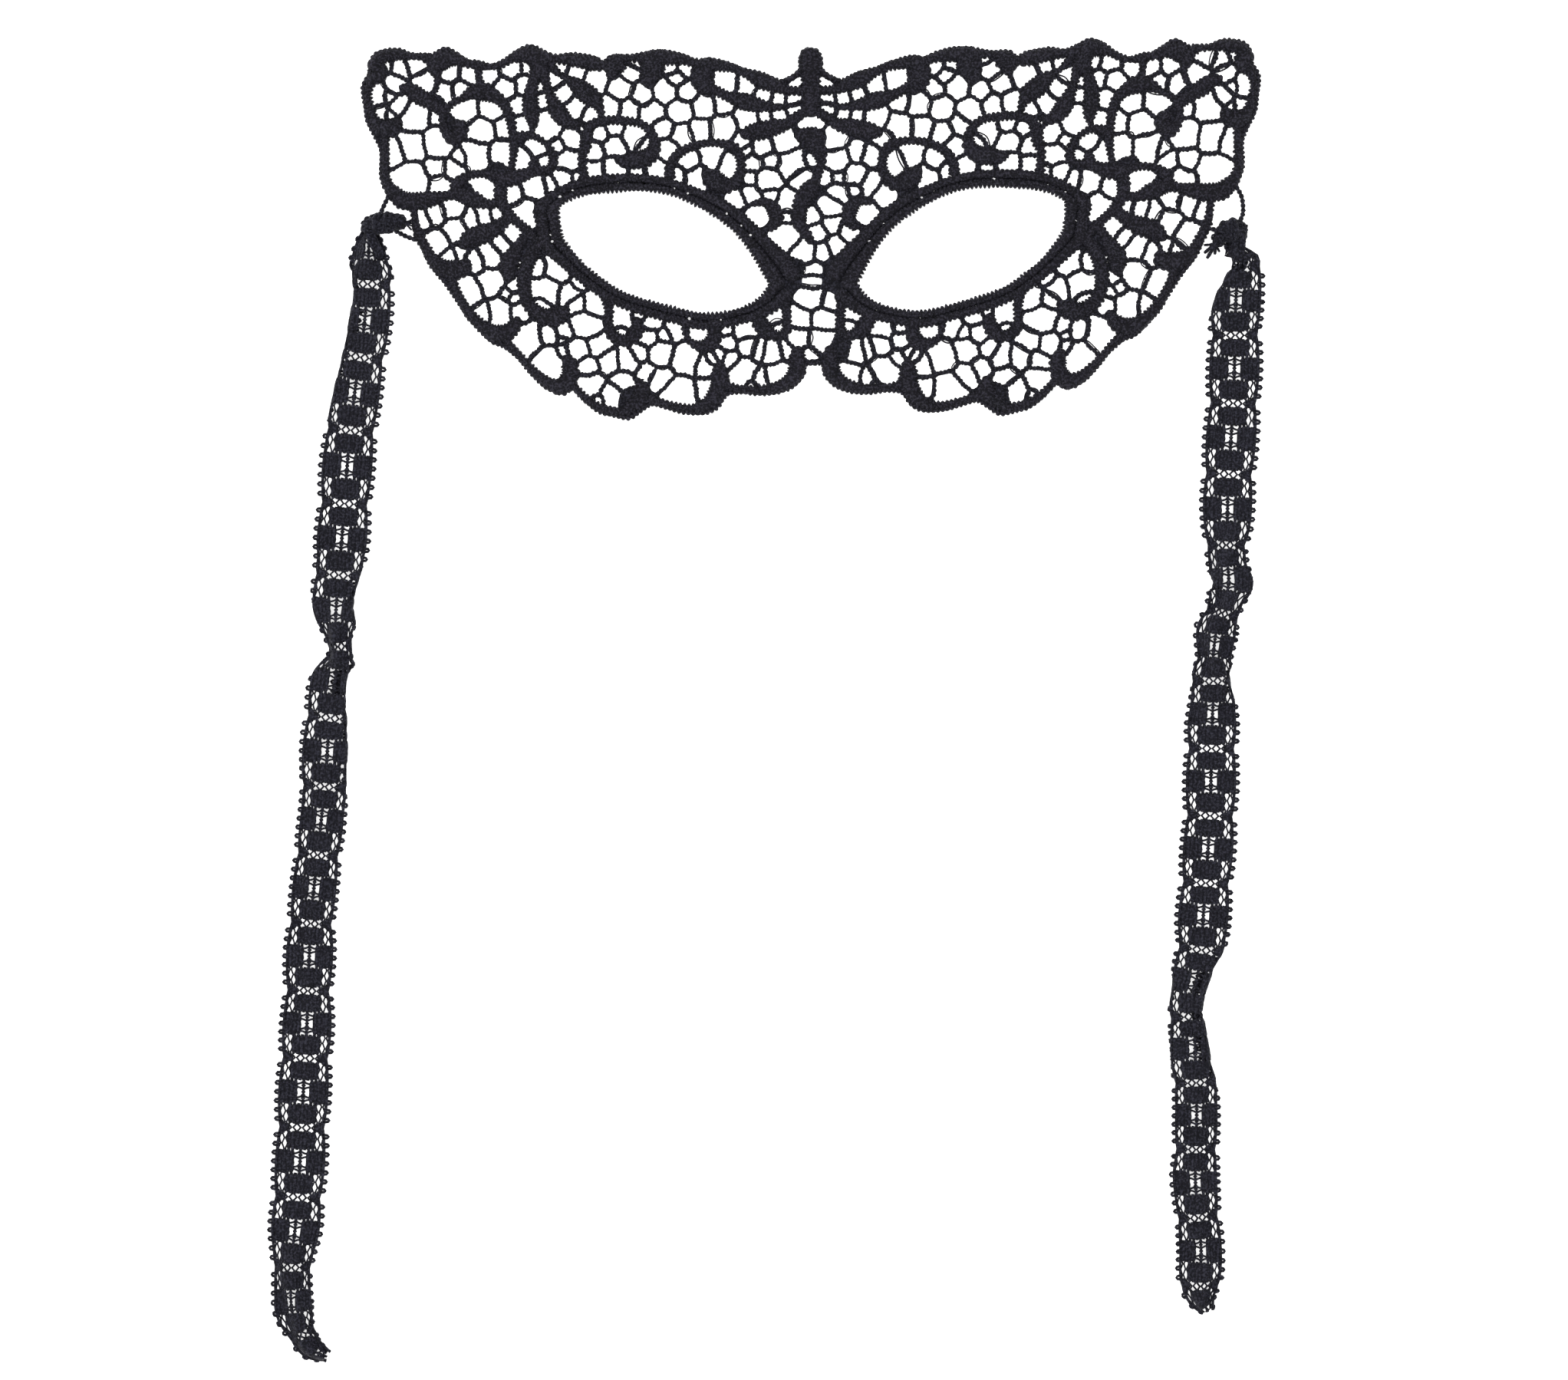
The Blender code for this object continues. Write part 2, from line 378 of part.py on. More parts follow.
def curve_object(name, outlines, bottom, top, collection):
    """A flat curve through closed outlines, filled and extruded from bottom to top."""
    curve = bpy.data.curves.new(name, "CURVE")
    curve.dimensions = "2D"
    curve.fill_mode = "BOTH"
    curve.extrude = (top - bottom) / 2
    for outline in outlines:
        spline = curve.splines.new("POLY")
        spline.points.add(len(outline) - 1)
        for point, row in zip(spline.points, outline):
            point.co = (row[0], row[1], 0.0, 1.0)
        spline.use_cyclic_u = True
    flat = bpy.data.objects.new(name, curve)
    flat.location.z = (top + bottom) / 2
    collection.objects.link(flat)
    return flat


def to_mesh(curve_obj, collection):
    """Replaces a curve object by a closed mesh object of the same name and place."""
    bpy.context.view_layer.update()
    evaluated = curve_obj.evaluated_get(bpy.context.evaluated_depsgraph_get())
    mesh = bpy.data.meshes.new_from_object(evaluated)
    name = curve_obj.name
    solid = bpy.data.objects.new(name + "_mesh", mesh)
    solid.matrix_world = curve_obj.matrix_world.copy()
    bpy.data.objects.remove(curve_obj)
    solid.name = name
    body = bmesh.new()
    body.from_mesh(mesh)
    bmesh.ops.remove_doubles(body, verts=body.verts, dist=0.000002)
    bmesh.ops.recalc_face_normals(body, faces=body.faces)
    body.to_mesh(mesh)
    body.free()
    collection.objects.link(solid)
    return solid


def tube(name, rows, sides, collection):
    """A round tube through rows of x, y, z and radius, as a mesh."""
    curve = bpy.data.curves.new(name, "CURVE")
    curve.dimensions = "3D"
    curve.bevel_depth = 1.0
    curve.bevel_resolution = sides // 2 - 2
    curve.use_fill_caps = True
    spline = curve.splines.new("POLY")
    spline.points.add(len(rows) - 1)
    for point, (x, y, z, radius) in zip(spline.points, rows):
        point.co = (x, y, z, 1.0)
        point.radius = radius
    flat = bpy.data.objects.new(name, curve)
    collection.objects.link(flat)
    return to_mesh(flat, collection)


def boolean(target, operation, tool=None, tools=None):
    """Adds an exact Boolean modifier with one tool object or a collection of them."""
    modifier = target.modifiers.new(operation.lower(), "BOOLEAN")
    modifier.solver = "EXACT"
    modifier.operation = operation
    if tools:
        modifier.operand_type = "COLLECTION"
        modifier.collection = tools
    else:
        modifier.object = tool
    return modifier


def all_cords():
    """Every raised cord of both halves and the centre: name, kind, widths, route, side."""
    found = []
    for name, kind, widths, route in SIDE_CORDS:
        found.append((name + "_left", kind, widths, route, -1))
        found.append((name + "_right", kind, widths, route, 1))
    for name, kind, widths, route in CENTRE_CORDS:
        found.append((name, kind, widths, route, -1))
    return found


def loop_rows(chart, side, radius, step):
    """The centre line of a temple loop with its radius."""
    rows = [(*place(across, up, side), height * KNOT_THICKNESS) for across, up, height in chart]
    return [(*row, radius) for row in spline_points(rows, step)]


def build_panel(parts, joined, material):
    """The lace panel: net plate, raised cords and the two temple loops as one solid."""
    paths = {name: cord_path(widths, route, side, CORD_STEP)
             for name, kind, widths, route, side in all_cords()}
    fine = np.vstack([cord_path(widths, route, side, CORD_STEP / 5)
                      for name, kind, widths, route, side in all_cords()])

    left = edge_rows(OUTLINE, -1)
    right = edge_rows(OUTLINE[1:-1], 1)[::-1]
    outer = inset(left + right, EDGE_INSET)
    eyes = [inset(edge_rows(EYE, -1), EDGE_INSET), inset(edge_rows(EYE, 1)[::-1], EDGE_INSET)]
    edge = np.vstack([spline_points(ring, CORD_STEP / 5, closed=True) for ring in (outer, *eyes)])
    edge = np.column_stack((edge, np.full(len(edge), BAR_WIDTH)))

    cells = np.array(cells_of(SIDE_GAPS, (-1, 1)) + cells_of(CENTRE_GAPS, (-1,)))
    gaps = []
    for index, cell in enumerate(cells):
        outline = gap_outline(cell, np.delete(cells, index, axis=0), fine, edge)
        if outline is not None:
            gaps.append(outline)

    plate = to_mesh(curve_object("lace_panel", [outer, *eyes, *gaps], 0.0, PLATE_THICKNESS, parts), parts)
    for index, (name, kind, *_) in enumerate(all_cords()):
        lift = index * LAYER_STEP
        slab = curve_object(name, [cord_outline(paths[name])], CORD_SEAT + lift / 2,
                            PLATE_THICKNESS + RISES[kind] + lift, joined)
        to_mesh(slab, joined)
    for name, chart, side in (("loop_left", LEFT_LOOP, -1), ("loop_right", RIGHT_LOOP, 1)):
        tube(name, loop_rows(chart, side, THREAD_THICKNESS / 2, 0.002), 8, joined)
    boolean(plate, "UNION", tools=joined)
    plate.data.materials.append(material)
    return plate


def build_knot(name, chart, loop, side, parts, tools, material):
    """A knot of rolled cloth, bored for the loop's thread with a clearance."""
    rows = [(*place(across, up, side), share * KNOT_THICKNESS / 2) for across, up, share in chart]
    smooth = spline_points(rows, 0.0016)
    knot = tube(name, [(x, y, radius, radius) for x, y, radius in smooth], 10, parts)
    bore = tube(name + "_bore", loop_rows(loop, side, THREAD_THICKNESS / 2 + CLEARANCE, 0.002), 8, tools)
    boolean(knot, "DIFFERENCE", tool=bore)
    knot.data.materials.append(material)
    return knot


def build_tie(name, chart, knot_chart, side, drop, parts, material):
    """A lace tie: a band through the chart's stations, given its thickness by Solidify."""
    across, up, share = knot_chart[-1]
    top = Vector((*place(across, up, side), 0.0))
    top.y -= CLEARANCE + TIE_THICKNESS / 2
    body = bmesh.new()
    bmesh.ops.create_grid(body, x_segments=1, y_segments=len(chart) - 1, size=0.5)
    order = sorted(body.verts, key=lambda vert: (-vert.co.y, vert.co.x))
    stations = []
    for down, sideways, width, roll in chart:
        stations.append((Vector((sideways * drop, -down * drop, 0.0)) + top, width * TIE_WIDTH, math.radians(roll)))
    for index, (centre, width, roll) in enumerate(stations):
        before = stations[max(index - 1, 0)][0]
        after = stations[min(index + 1, len(stations) - 1)][0]
        ahead = (after - before).normalized()
        sideways = Vector((-ahead.y, ahead.x, 0.0)) * math.cos(roll) + Vector((0, 0, math.sin(roll)))
        height = TIE_THICKNESS / 2 + width / 2 * math.sin(roll)
        for vert, turn in zip(order[2 * index:2 * index + 2], (-1, 1)):
            vert.co = centre + Vector((0, 0, height)) + turn * width / 2 * sideways
    bmesh.ops.recalc_face_normals(body, faces=body.faces)
    mesh = bpy.data.meshes.new(name)
    body.to_mesh(mesh)
    body.free()
    tie = bpy.data.objects.new(name, mesh)
    parts.objects.link(tie)
    solidify = tie.modifiers.new("cloth", "SOLIDIFY")
    solidify.thickness = TIE_THICKNESS
    solidify.offset = 0.0
    mesh.materials.append(material)
    return tie


def main():
    """Builds the mask."""
    for old in list(bpy.data.objects):
        bpy.data.objects.remove(old)
    parts = new_collection("lace_mask")
    joined = new_collection("joined", hidden=True)
    tools = new_collection("cutters", hidden=True)
    lace = new_material("lace", LACE_COLOUR, 0.8)
    ribbon = new_material("tie_lace", TIE_COLOUR, 0.75)
    build_panel(parts, joined, lace)
    build_knot("knot_left", LEFT_KNOT, LEFT_LOOP, -1, parts, tools, ribbon)
    build_knot("knot_right", RIGHT_KNOT, RIGHT_LOOP, 1, parts, tools, ribbon)
    build_tie("tie_left", LEFT_TIE, LEFT_KNOT, -1, LEFT_TIE_DROP, parts, ribbon)
    build_tie("tie_right", RIGHT_TIE, RIGHT_KNOT, 1, RIGHT_TIE_DROP, parts, ribbon)
    for helper in [*joined.objects, *tools.objects]:
        helper.hide_render = True
        helper.display_type = "WIRE"


main()
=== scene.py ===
"""Looks of a black lace half mask with two lace ties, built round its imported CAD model.

The panel is a net of twisted threads on a thin ground, with satin-stitched cords raised on
it. The ties are openwork lace, made from one repeat laid along each tie's path, and each is
knotted on to a thread loop at the temple. Lengths are in metres, and the charts give places
on the panel in percent of its half width and of its height.
"""
from __future__ import annotations

import logging
import math
from dataclasses import dataclass, field
from enum import Enum

import bpy
import numpy as np
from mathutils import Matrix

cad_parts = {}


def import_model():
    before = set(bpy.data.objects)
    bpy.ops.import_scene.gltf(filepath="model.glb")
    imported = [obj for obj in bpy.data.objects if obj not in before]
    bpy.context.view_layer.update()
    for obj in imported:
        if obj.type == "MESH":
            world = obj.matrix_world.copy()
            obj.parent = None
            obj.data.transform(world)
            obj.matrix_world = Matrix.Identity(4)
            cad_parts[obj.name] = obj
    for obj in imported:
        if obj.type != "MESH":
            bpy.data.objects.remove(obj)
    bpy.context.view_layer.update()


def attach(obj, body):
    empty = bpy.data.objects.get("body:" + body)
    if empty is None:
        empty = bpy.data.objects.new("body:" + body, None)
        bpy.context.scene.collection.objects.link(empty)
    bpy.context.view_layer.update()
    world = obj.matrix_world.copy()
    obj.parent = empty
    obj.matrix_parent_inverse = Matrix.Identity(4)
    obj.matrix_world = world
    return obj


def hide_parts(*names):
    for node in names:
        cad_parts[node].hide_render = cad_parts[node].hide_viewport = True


LOG = logging.getLogger("lace_mask")
SEED = 5464
MM = 0.001
TINY = 1e-12
THREAD_MAP = "thread"

# Ropes: plies, each ply's share of the width, and how the width swells between the crossings
ROPE_PLIES = 2
PLY_SHARE = 0.62
ROPE_WAIST = 0.88
ROPE_SWELL = 0.26

# Points between two rows of a chart before they are spaced evenly
SPLINE_SAMPLES = 12

# Rounded cord ends: how far they run on, how long the rounding is, and the least width squared
END_RUN = 0.6
END_ROUND = 0.9
END_LEAST = 0.02


@dataclass(frozen=True)
class PanelSizes:
    """Sizes of the lace panel."""

    width: float = 0.236
    height: float = 0.097
    hub_up: float = 87.0
    cord: float = 0.0053
    ground: float = 0.00055
    ground_low: float = 0.00025
    bar: float = 0.00138
    bar_height: float = 0.00058
    ply_pitch: float = 0.0021
    cloth_share: float = 0.42
    knot: float = 0.0050
    thread: float = 0.0013

    def spot(self, across: float, up: float, side: float) -> tuple[float, float]:
        """A chart place in metres; side is -1 on the left half and 1 on the right."""
        return side * across / 100 * self.width / 2, (up - self.hub_up) / 100 * self.height


@dataclass(frozen=True)
class CordFinish:
    """How one kind of raised cord is stitched.

    Attributes:
        top: Height of its crown.
        tooth: Reach of the teeth at its edges.
        pitch: Distance from stitch to stitch.
        slant: How far a stitch leans along the cord, for each unit across it.
        ridge: Height of the stitch ridges.
        crown: Exponent of its section; a small one is flat on top.
    """

    top: float
    tooth: float
    pitch: float
    slant: float
    ridge: float
    crown: float = 0.75


class CordKind(Enum):
    """The kinds of raised cord on the panel."""

    RIM = CordFinish(top=0.00190, tooth=0.00120, pitch=0.00114, slant=0.12, ridge=0.00026, crown=0.34)
    BRAID = CordFinish(top=0.00195, tooth=0.00100, pitch=0.00126, slant=0.90, ridge=0.00030, crown=0.40)
    BORDER = CordFinish(top=0.00130, tooth=0.00090, pitch=0.00122, slant=0.30, ridge=0.00022)
    EDGE = CordFinish(top=0.00180, tooth=0.00088, pitch=0.00120, slant=0.40, ridge=0.00026)
    SCROLL = CordFinish(top=0.00170, tooth=0.00082, pitch=0.00118, slant=0.45, ridge=0.00026)
    LEAF = CordFinish(top=0.00165, tooth=0.00074, pitch=0.00114, slant=0.35, ridge=0.00024)


# Charts of the panel, left half: across from the centre line, up from the chin
OUTLINE = (
    (0, 98.1), (1.6, 97.6), (2.4, 94.8), (2.6, 92.4), (6.2, 89.7), (8.6, 90.6), (11.5, 92.0), (15, 93.0),
    (18, 94.5), (22.5, 95.9), (24.7, 95.2), (28, 96.9), (32, 98.0), (36, 97.7), (40, 96.9), (44, 96.9),
    (45.6, 95.3), (48, 96.7), (53, 97.6), (57, 96.8), (59.5, 98.7), (62, 99.9), (65, 98.4), (67.5, 96.3),
    (70.5, 94.8), (74, 95.0), (77, 97.0), (80.5, 99.5), (84, 97.6), (88, 98.0), (91.3, 99.3), (95.5, 98.6),
    (97.3, 96.0), (97.3, 93.5), (99, 89.5), (98.6, 84.0), (98.1, 80.0), (96.5, 76.0), (95.2, 72.0),
    (95.2, 65.0), (93.6, 60.5), (91.5, 57.0), (88.4, 55.8), (87.9, 51.0), (86.5, 47.0), (84.7, 41.5),
    (81.3, 36.2), (78.6, 31.3), (76, 26.6), (71.4, 20.6), (68.5, 19.0), (65.3, 15.8), (62.5, 11.7),
    (59.2, 7.8), (55.5, 6.2), (53.3, 7.4), (50.5, 4.0), (47.5, 1.2), (44.5, 0.2), (41, -0.6), (38.5, 1.2),
    (36, 3.0), (33, 2.2), (29, 0.8), (24.5, 0.5), (21.5, 2.0), (19.3, 5.4), (16, 6.0), (12, 5.5),
    (8, 5.9), (4.5, 7.6), (2.2, 10.8), (1.9, 13.2), (0, 13.4),
)

EYE = (
    (56.8, 54.5), (55, 57.2), (52, 58.6), (49, 60.0), (45, 60.5), (40, 60.8), (35, 60.5), (31, 59.6),
    (28, 58.0), (25, 56.2), (22, 54.2), (19.5, 52.0), (17, 49.6), (15, 46.8), (13.3, 43.5), (11.8, 41.0),
    (10.4, 37.8), (9, 35.0), (10.4, 33.0), (12, 31.2), (14.5, 29.8), (17.5, 28.6), (21, 27.6), (25, 27.4),
    (29, 28.3), (33, 29.8), (37, 31.2), (41, 33.0), (44, 34.6), (47, 37.2), (50, 39.8), (52.5, 42.6),
    (54.4, 45.4), (55.3, 49.0),
)

# Raised cords of the left half: name, kind, widths as shares of the cord width, route
SIDE_CORDS = (
    ("rim_brow", "rim", (1.3, .9, .84, .88, .9, .84, .8, .78, .84, .92, 1.0, 1.0, 1.1, 1.3, 1.6, 1.7),
     ((58.9, 55), (57, 58.2), (53.5, 60.6), (49.5, 62), (45, 62.6), (39, 62.8), (34, 62.2), (29.5, 60.8),
      (26, 59), (22.5, 57), (19, 54.4), (16, 51.4), (13.2, 47.8), (10.6, 44), (8, 40), (5.9, 36))),
    ("rim_cheek", "rim", (1.3, 1.2, 1.2, 1.0, .84, .84, .8, .78, .8, .78, .84, .8, .8, .92, 1.1, 1.4),
     ((58.9, 56), (58.3, 51.5), (57.6, 47), (54.8, 43), (51.5, 39), (48, 35.6), (44, 32.3), (39.5, 30),
      (34.5, 28.2), (29.5, 26.6), (25, 25.3), (20.5, 25.5), (16, 26.6), (12.5, 28), (9.5, 30.3), (7, 33.5))),
    ("corner", "edge", (.44, .34, .6, .68, .88, 1.0, .52, .4, .44, .52, .92, .96, .6),
     ((84.5, 97.2), (88, 97.3), (91.5, 97.8), (94.6, 97.1), (95.9, 95), (95.7, 92.8), (97.2, 90.3),
      (97.9, 87), (97.3, 83.5), (96.6, 80.6), (95, 78.4), (92.8, 78.3), (91.2, 79.6))),
    ("temple_edge_upper", "edge", (.44, .4, .44, .56, .7),
     ((94.2, 77), (94.1, 70), (94.3, 66), (93.7, 63), (92.5, 60.5))),
    ("temple_lobe", "scroll", (.7, .84, .9, .76, .5, .76, .84, .52, .48),
     ((93, 61.4), (90.3, 58.9), (87, 58.4), (83.8, 59), (80.6, 59.8), (78, 60.2), (75, 58.9), (72, 57.5),
      (69.5, 57.6))),
    ("top_fan", "leaf", (.28, .4, .84, 1.0, .72, .44, .48, .3, .32, .46, .8, 1.0),
     ((82.9, 88), (82.4, 91.5), (82.8, 94), (81.2, 96.2), (78.6, 96.5), (75.9, 95.3), (73.5, 94.9),
      (70.5, 94.3), (68.3, 94.7), (66, 96.4), (63.5, 97.4), (61.3, 97.2))),
    ("top_link", "edge", (.44, .6), ((85.3, 97), (83.2, 95.4))),
    ("corner_leaf", "leaf", (.3, .72, .84, .64, .6, .5),
     ((90.6, 89.2), (88.4, 88.3), (86.3, 86.4), (84, 84.6), (82, 83), (81.1, 81.5))),
    ("great_scroll", "scroll", (.3, .7, .9, .72, .5, .4, .44, .36, .36, .64, .94, .64, .52, .5, .44, .5,
                                .36, .4, .6),
     ((79.4, 79.2), (77.9, 78.6), (77.8, 76.6), (79.3, 75.3), (80.8, 77), (81.4, 79.6), (81, 82),
      (79.6, 84.2), (77.3, 85.7), (75, 87.4), (72.3, 87.6), (69.3, 85.9), (67.4, 83.4), (66.4, 80),
      (66, 76.5), (65.7, 73), (66, 69.5), (66.3, 66.5), (65.6, 64.6))),
    ("scroll_stalk", "leaf", (.48, .36, .7), ((73.5, 94.3), (73.2, 91), (72.6, 88.3))),
    ("feather_upright", "leaf", (1.0, .9, .6, .76, .84, .64, .26),
     ((60.8, 97.2), (60.2, 94), (61.2, 90.5), (61.9, 86.5), (61.9, 82.8), (61.5, 79.6), (61.6, 77))),
    ("feather_middle", "leaf", (.8, .56, .44, .6, .9, .8, .5, .3),
     ((60, 95.5), (58.9, 92), (58.2, 88.5), (57.2, 85.3), (56, 82.3), (54.4, 79.8), (52.3, 78.3),
      (50.5, 78.8))),
    ("feather_low", "leaf", (.4, .28, .7, 1.0, .9, .5, .34),
     ((57.5, 95), (54.8, 91.6), (52.3, 89.6), (50.2, 87.4), (48, 85.3), (46.8, 83), (46.3, 80.8))),
    ("top_brow", "edge", (.9, .5, .6, .7, .74, .5, .5),
     ((59.5, 96.5), (56.5, 96.2), (53.5, 96), (50.5, 95.4), (48, 94.8), (46.2, 94.2), (44, 94.6))),
    ("top_pad_outer", "leaf", (.4, .8, 1.2, .7), ((43.3, 91), (43.8, 92.8), (43.2, 94.6), (42.8, 95.9))),
    ("top_middle", "edge", (.6, .4, .36, .8, .68, .5, .5, .9),
     ((43, 95.7), (40.5, 96.1), (38, 95.9), (34.8, 96.2), (31, 96), (28, 95.5), (25.5, 94.6), (23.8, 93.8))),
    ("top_pad_middle", "leaf", (.34, .9, 1.2, 1.3, .8),
     ((35.3, 88.3), (35.7, 90), (35.3, 92), (34.8, 94.5), (34.2, 96.2))),
    ("top_pad_inner", "leaf", (.6, 1.0, 1.24, 1.16, .6),
     ((22.8, 86.6), (23.3, 88.3), (23.9, 90.5), (23.6, 93), (22.8, 94.6))),
    ("bow_upper", "leaf", (.5, .54, .44, .46, .84, .7, .5, .46, .6),
     ((24, 94), (20, 93.8), (17, 93.1), (14, 91.5), (11, 89.8), (8, 88.4), (5, 87.1), (3, 86.9), (1, 87))),
    ("bow_lower", "leaf", (.5, .5, .64, .9, .74, .5, .34, .24, .24, .5),
     ((21.5, 87.6), (19, 86), (17, 85), (14.8, 84.2), (12, 83.3), (9.5, 82.8), (7, 82.5), (4.5, 83),
      (2.4, 83.9), (.8, 84.4))),
    ("bow_feeler", "leaf", (.5, .8, .94, .84, .6, .5, .5),
     ((15, 75.3), (13.5, 75.8), (11, 76.3), (8, 77.2), (5.5, 78), (3.6, 79.7), (1, 81.5))),
    ("bow_strand", "edge", (.24, .26, .3), ((6.4, 89.4), (4, 90.5), (2.2, 92.2))),
    ("inner_scroll", "scroll", (.5, 1.0, 1.0, .7, .6, .48, .5, .56, .4, .4, .44, .5, .5, .6),
     ((23.6, 65.3), (22.3, 63.8), (20.4, 62.2), (18, 61.8), (16.3, 63.6), (15.6, 66.5), (15.9, 69.5),
      (17.4, 71.9), (20.4, 73.1), (24, 73), (27.5, 71.7), (30, 69.7), (31.3, 67), (31.4, 64.3))),
    ("brow_scroll", "scroll", (.3, .7, .92, .9, .74, .56, .46, .4, .44, .46, .5, .62, .6, .42, .44, .5),
     ((43.4, 69.4), (41.5, 68.6), (39, 68.8), (36.6, 69.4), (35, 71.3), (34.7, 73.8), (35.6, 76.5),
      (37.8, 78.6), (41.5, 79.4), (45.5, 79.5), (48.6, 78.3), (49.6, 75.5), (50, 72.5), (50.8, 69.5),
      (50.5, 66.5), (50.4, 64))),
    ("temple_hook", "scroll", (.5, .7, .44, .4, .5, .8, .7, .5, .44, .5, .44, .3, .4, .6),
     ((79, 61), (78.2, 63), (76, 65), (73, 65.6), (70, 65), (67, 64.2), (64, 65), (61, 66.3), (58.2, 66.6),
      (57.1, 68.5), (57.3, 71), (58.8, 73.6), (61.8, 75.7), (64.8, 75.2))),
    ("temple_bud", "leaf", (.6, .6, .3), ((61.3, 65.8), (61.3, 68), (61.2, 69.8))),
    ("temple_sweep", "scroll", (.6, .7, .6, .56, .46, .5, .5, .6),
     ((68.2, 64.3), (68.8, 61), (68.5, 57.8), (67, 54.6), (65, 52.3), (63, 50.2), (61.3, 48), (59.8, 46.5))),
    ("temple_leaf", "leaf", (.6, .94, 1.0, .8, .6, .5),
     ((77.3, 46.6), (75.6, 48.3), (73, 49.3), (70.2, 50.8), (67.8, 53), (67.2, 54.8))),
    ("temple_edge_lower", "edge", (.34, .36, .5, .5, .56, .8, 1.0, .84, .6),
     ((88.2, 57), (87.7, 53), (87, 49.5), (85.5, 46), (84, 43), (82, 40.8), (79.5, 39.8), (77.2, 40.4),
      (76.6, 42))),
    ("cheek_edge_outer", "edge", (.5, .4, .44, .54, .6, .84, .92, .72, .44),
     ((79.8, 38), (79, 35), (77.5, 31.2), (75.9, 28), (73.5, 25), (71, 22.9), (68.3, 22.6), (66.2, 24.4),
      (65.2, 26.4))),
    ("cheek_edge_a", "edge", (.4, .34, .36, .46, .6, .8, .94, .84, .8, .4),
     ((67.8, 20.3), (65.6, 17.6), (63.4, 14.4), (61, 11.4), (58.8, 9.2), (56.6, 8.2), (54.7, 9.2),
      (53.8, 11.8), (54.1, 14.4), (55, 16))),
    ("cheek_edge_b", "edge", (.4, .38, .4, .4, .42, .5, .76, .96, .7, .3),
     ((53.2, 8.3), (51.3, 5.9), (49.3, 3.8), (47, 2.3), (44.5, 1.5), (42, 1.3), (40, 3), (38.3, 5.2),
      (38.2, 7.8), (38.8, 9.8))),
    ("cheek_edge_c", "edge", (.5, .38, .4, .42, .6, .84, .94, .9, .5),
     ((36.3, 4.6), (33.3, 3.4), (30, 2.3), (27, 1.9), (24.3, 2.6), (22.2, 4.8), (20.9, 8), (20.8, 11.2),
      (20.7, 13.6))),
    ("chin_edge", "edge", (.5, .4, .42, .52, .66, .8, .84, .78, .5),
     ((20.5, 8.3), (17, 7.1), (13, 6.7), (9.5, 7), (6.4, 8.3), (4.4, 10.5), (3.7, 13.3), (3.6, 16),
      (3.4, 17.6))),
    ("cheek_scroll", "scroll", (.6, .7, .74, .76, .7, .66, .72, .86, 1.0, .7, .3),
     ((60.3, 46.4), (62, 43.6), (63.2, 40.6), (63.8, 37.2), (63.7, 34), (63.1, 31), (61.5, 28.6),
      (59.3, 27), (57, 26.9), (55.3, 28), (54.3, 29.6))),
    ("cheek_bud", "leaf", (.5, .5, .8, 1.0, .84, .3),
     ((63.3, 49.2), (64.7, 46.8), (65.8, 44.3), (67.2, 41.2), (67.2, 38.5), (67.6, 36.4))),
    ("cheek_drop_outer", "scroll", (.5, .48, .44, .6, .6, .7, .74, .5),
     ((46, 32.5), (45.2, 29), (45.2, 25.3), (44.7, 22.3), (42.6, 20.5), (40.2, 20.9), (39.1, 23.2),
      (39, 25.8))),
    ("cheek_drop_middle", "scroll", (.36, .3, .36, .6, .84, .74, .8),
     ((28.6, 24.8), (28.3, 22), (27.2, 19.8), (25, 18.6), (22.8, 19.2), (21.8, 21.7), (22, 24.5))),
    ("cheek_drop_inner", "scroll", (.6, .84, .76, .5, .5, .46, .5, .6),
     ((12.6, 27), (11.7, 24.5), (10.3, 22.3), (8, 21.1), (6.2, 22.2), (5.9, 25), (6, 28), (6.5, 31))),
    ("nose_leaf", "leaf", (.32, .5, .76, .7, .36),
     ((13, 56.8), (10.3, 57), (8.5, 55), (8, 52.3), (9.3, 49.8))),
)

# Raised cords on the centre line, where left of it is positive
CENTRE_CORDS = (
    ("bow_hub", "edge", (1.1, 1.14, .96, .94, .9, .9),
     ((0, 96.6), (0, 94), (0, 91), (0, 87), (0, 84), (0, 81.5))),
    ("nose_bud", "leaf", (.6, .9, 1.0, .6), ((2.9, 75), (1.2, 74.7), (-.8, 74.4), (-2.6, 74.2))),
    ("nose_stem", "scroll", (1.2, .8, .5, .4, .5, .9, .9, .8, .8, .56, .5, .3),
     ((-.6, 73), (-1.6, 70.4), (-2.1, 67.6), (-1.6, 65), (-.9, 63), (.4, 60.6), (1.9, 58), (2.8, 55),
      (3, 52), (2.2, 49.6), (1, 47.8), (.3, 46))),
)

# Thread loops: across, up, height as a share of the knot's thickness
LEFT_LOOP = ((93.2, 60.6, .15), (94.5, 57.4, .18), (95.1, 55, .34), (94.3, 52.8, .5), (92.6, 50.9, .42),
             (90.2, 49.2, .18), (87.2, 47.8, .15))
RIGHT_LOOP = ((93.2, 60.6, .15), (94.7, 57.4, .18), (95.1, 54, .22), (94.7, 51.4, .4), (93, 48.9, .55),
              (90.6, 48, .5), (88.7, 48.3, .24), (86.8, 48.8, .15))

# Knots: across, up, thickness as a share of the full knot
LEFT_KNOT = ((89.9, 52.5, .50), (91, 52.7, .86), (93, 52.6, .98), (95.2, 52.3, 1.0), (97, 52, .92),
             (98, 51.3, .82), (98.05, 50.5, .72))
RIGHT_KNOT = ((88.9, 44.5, .40), (89.9, 46.2, .76), (91.3, 47.7, 1.04), (93, 48, 1.1), (94, 47, .96),
              (93.8, 46, .84), (93.5, 45.5, .76))

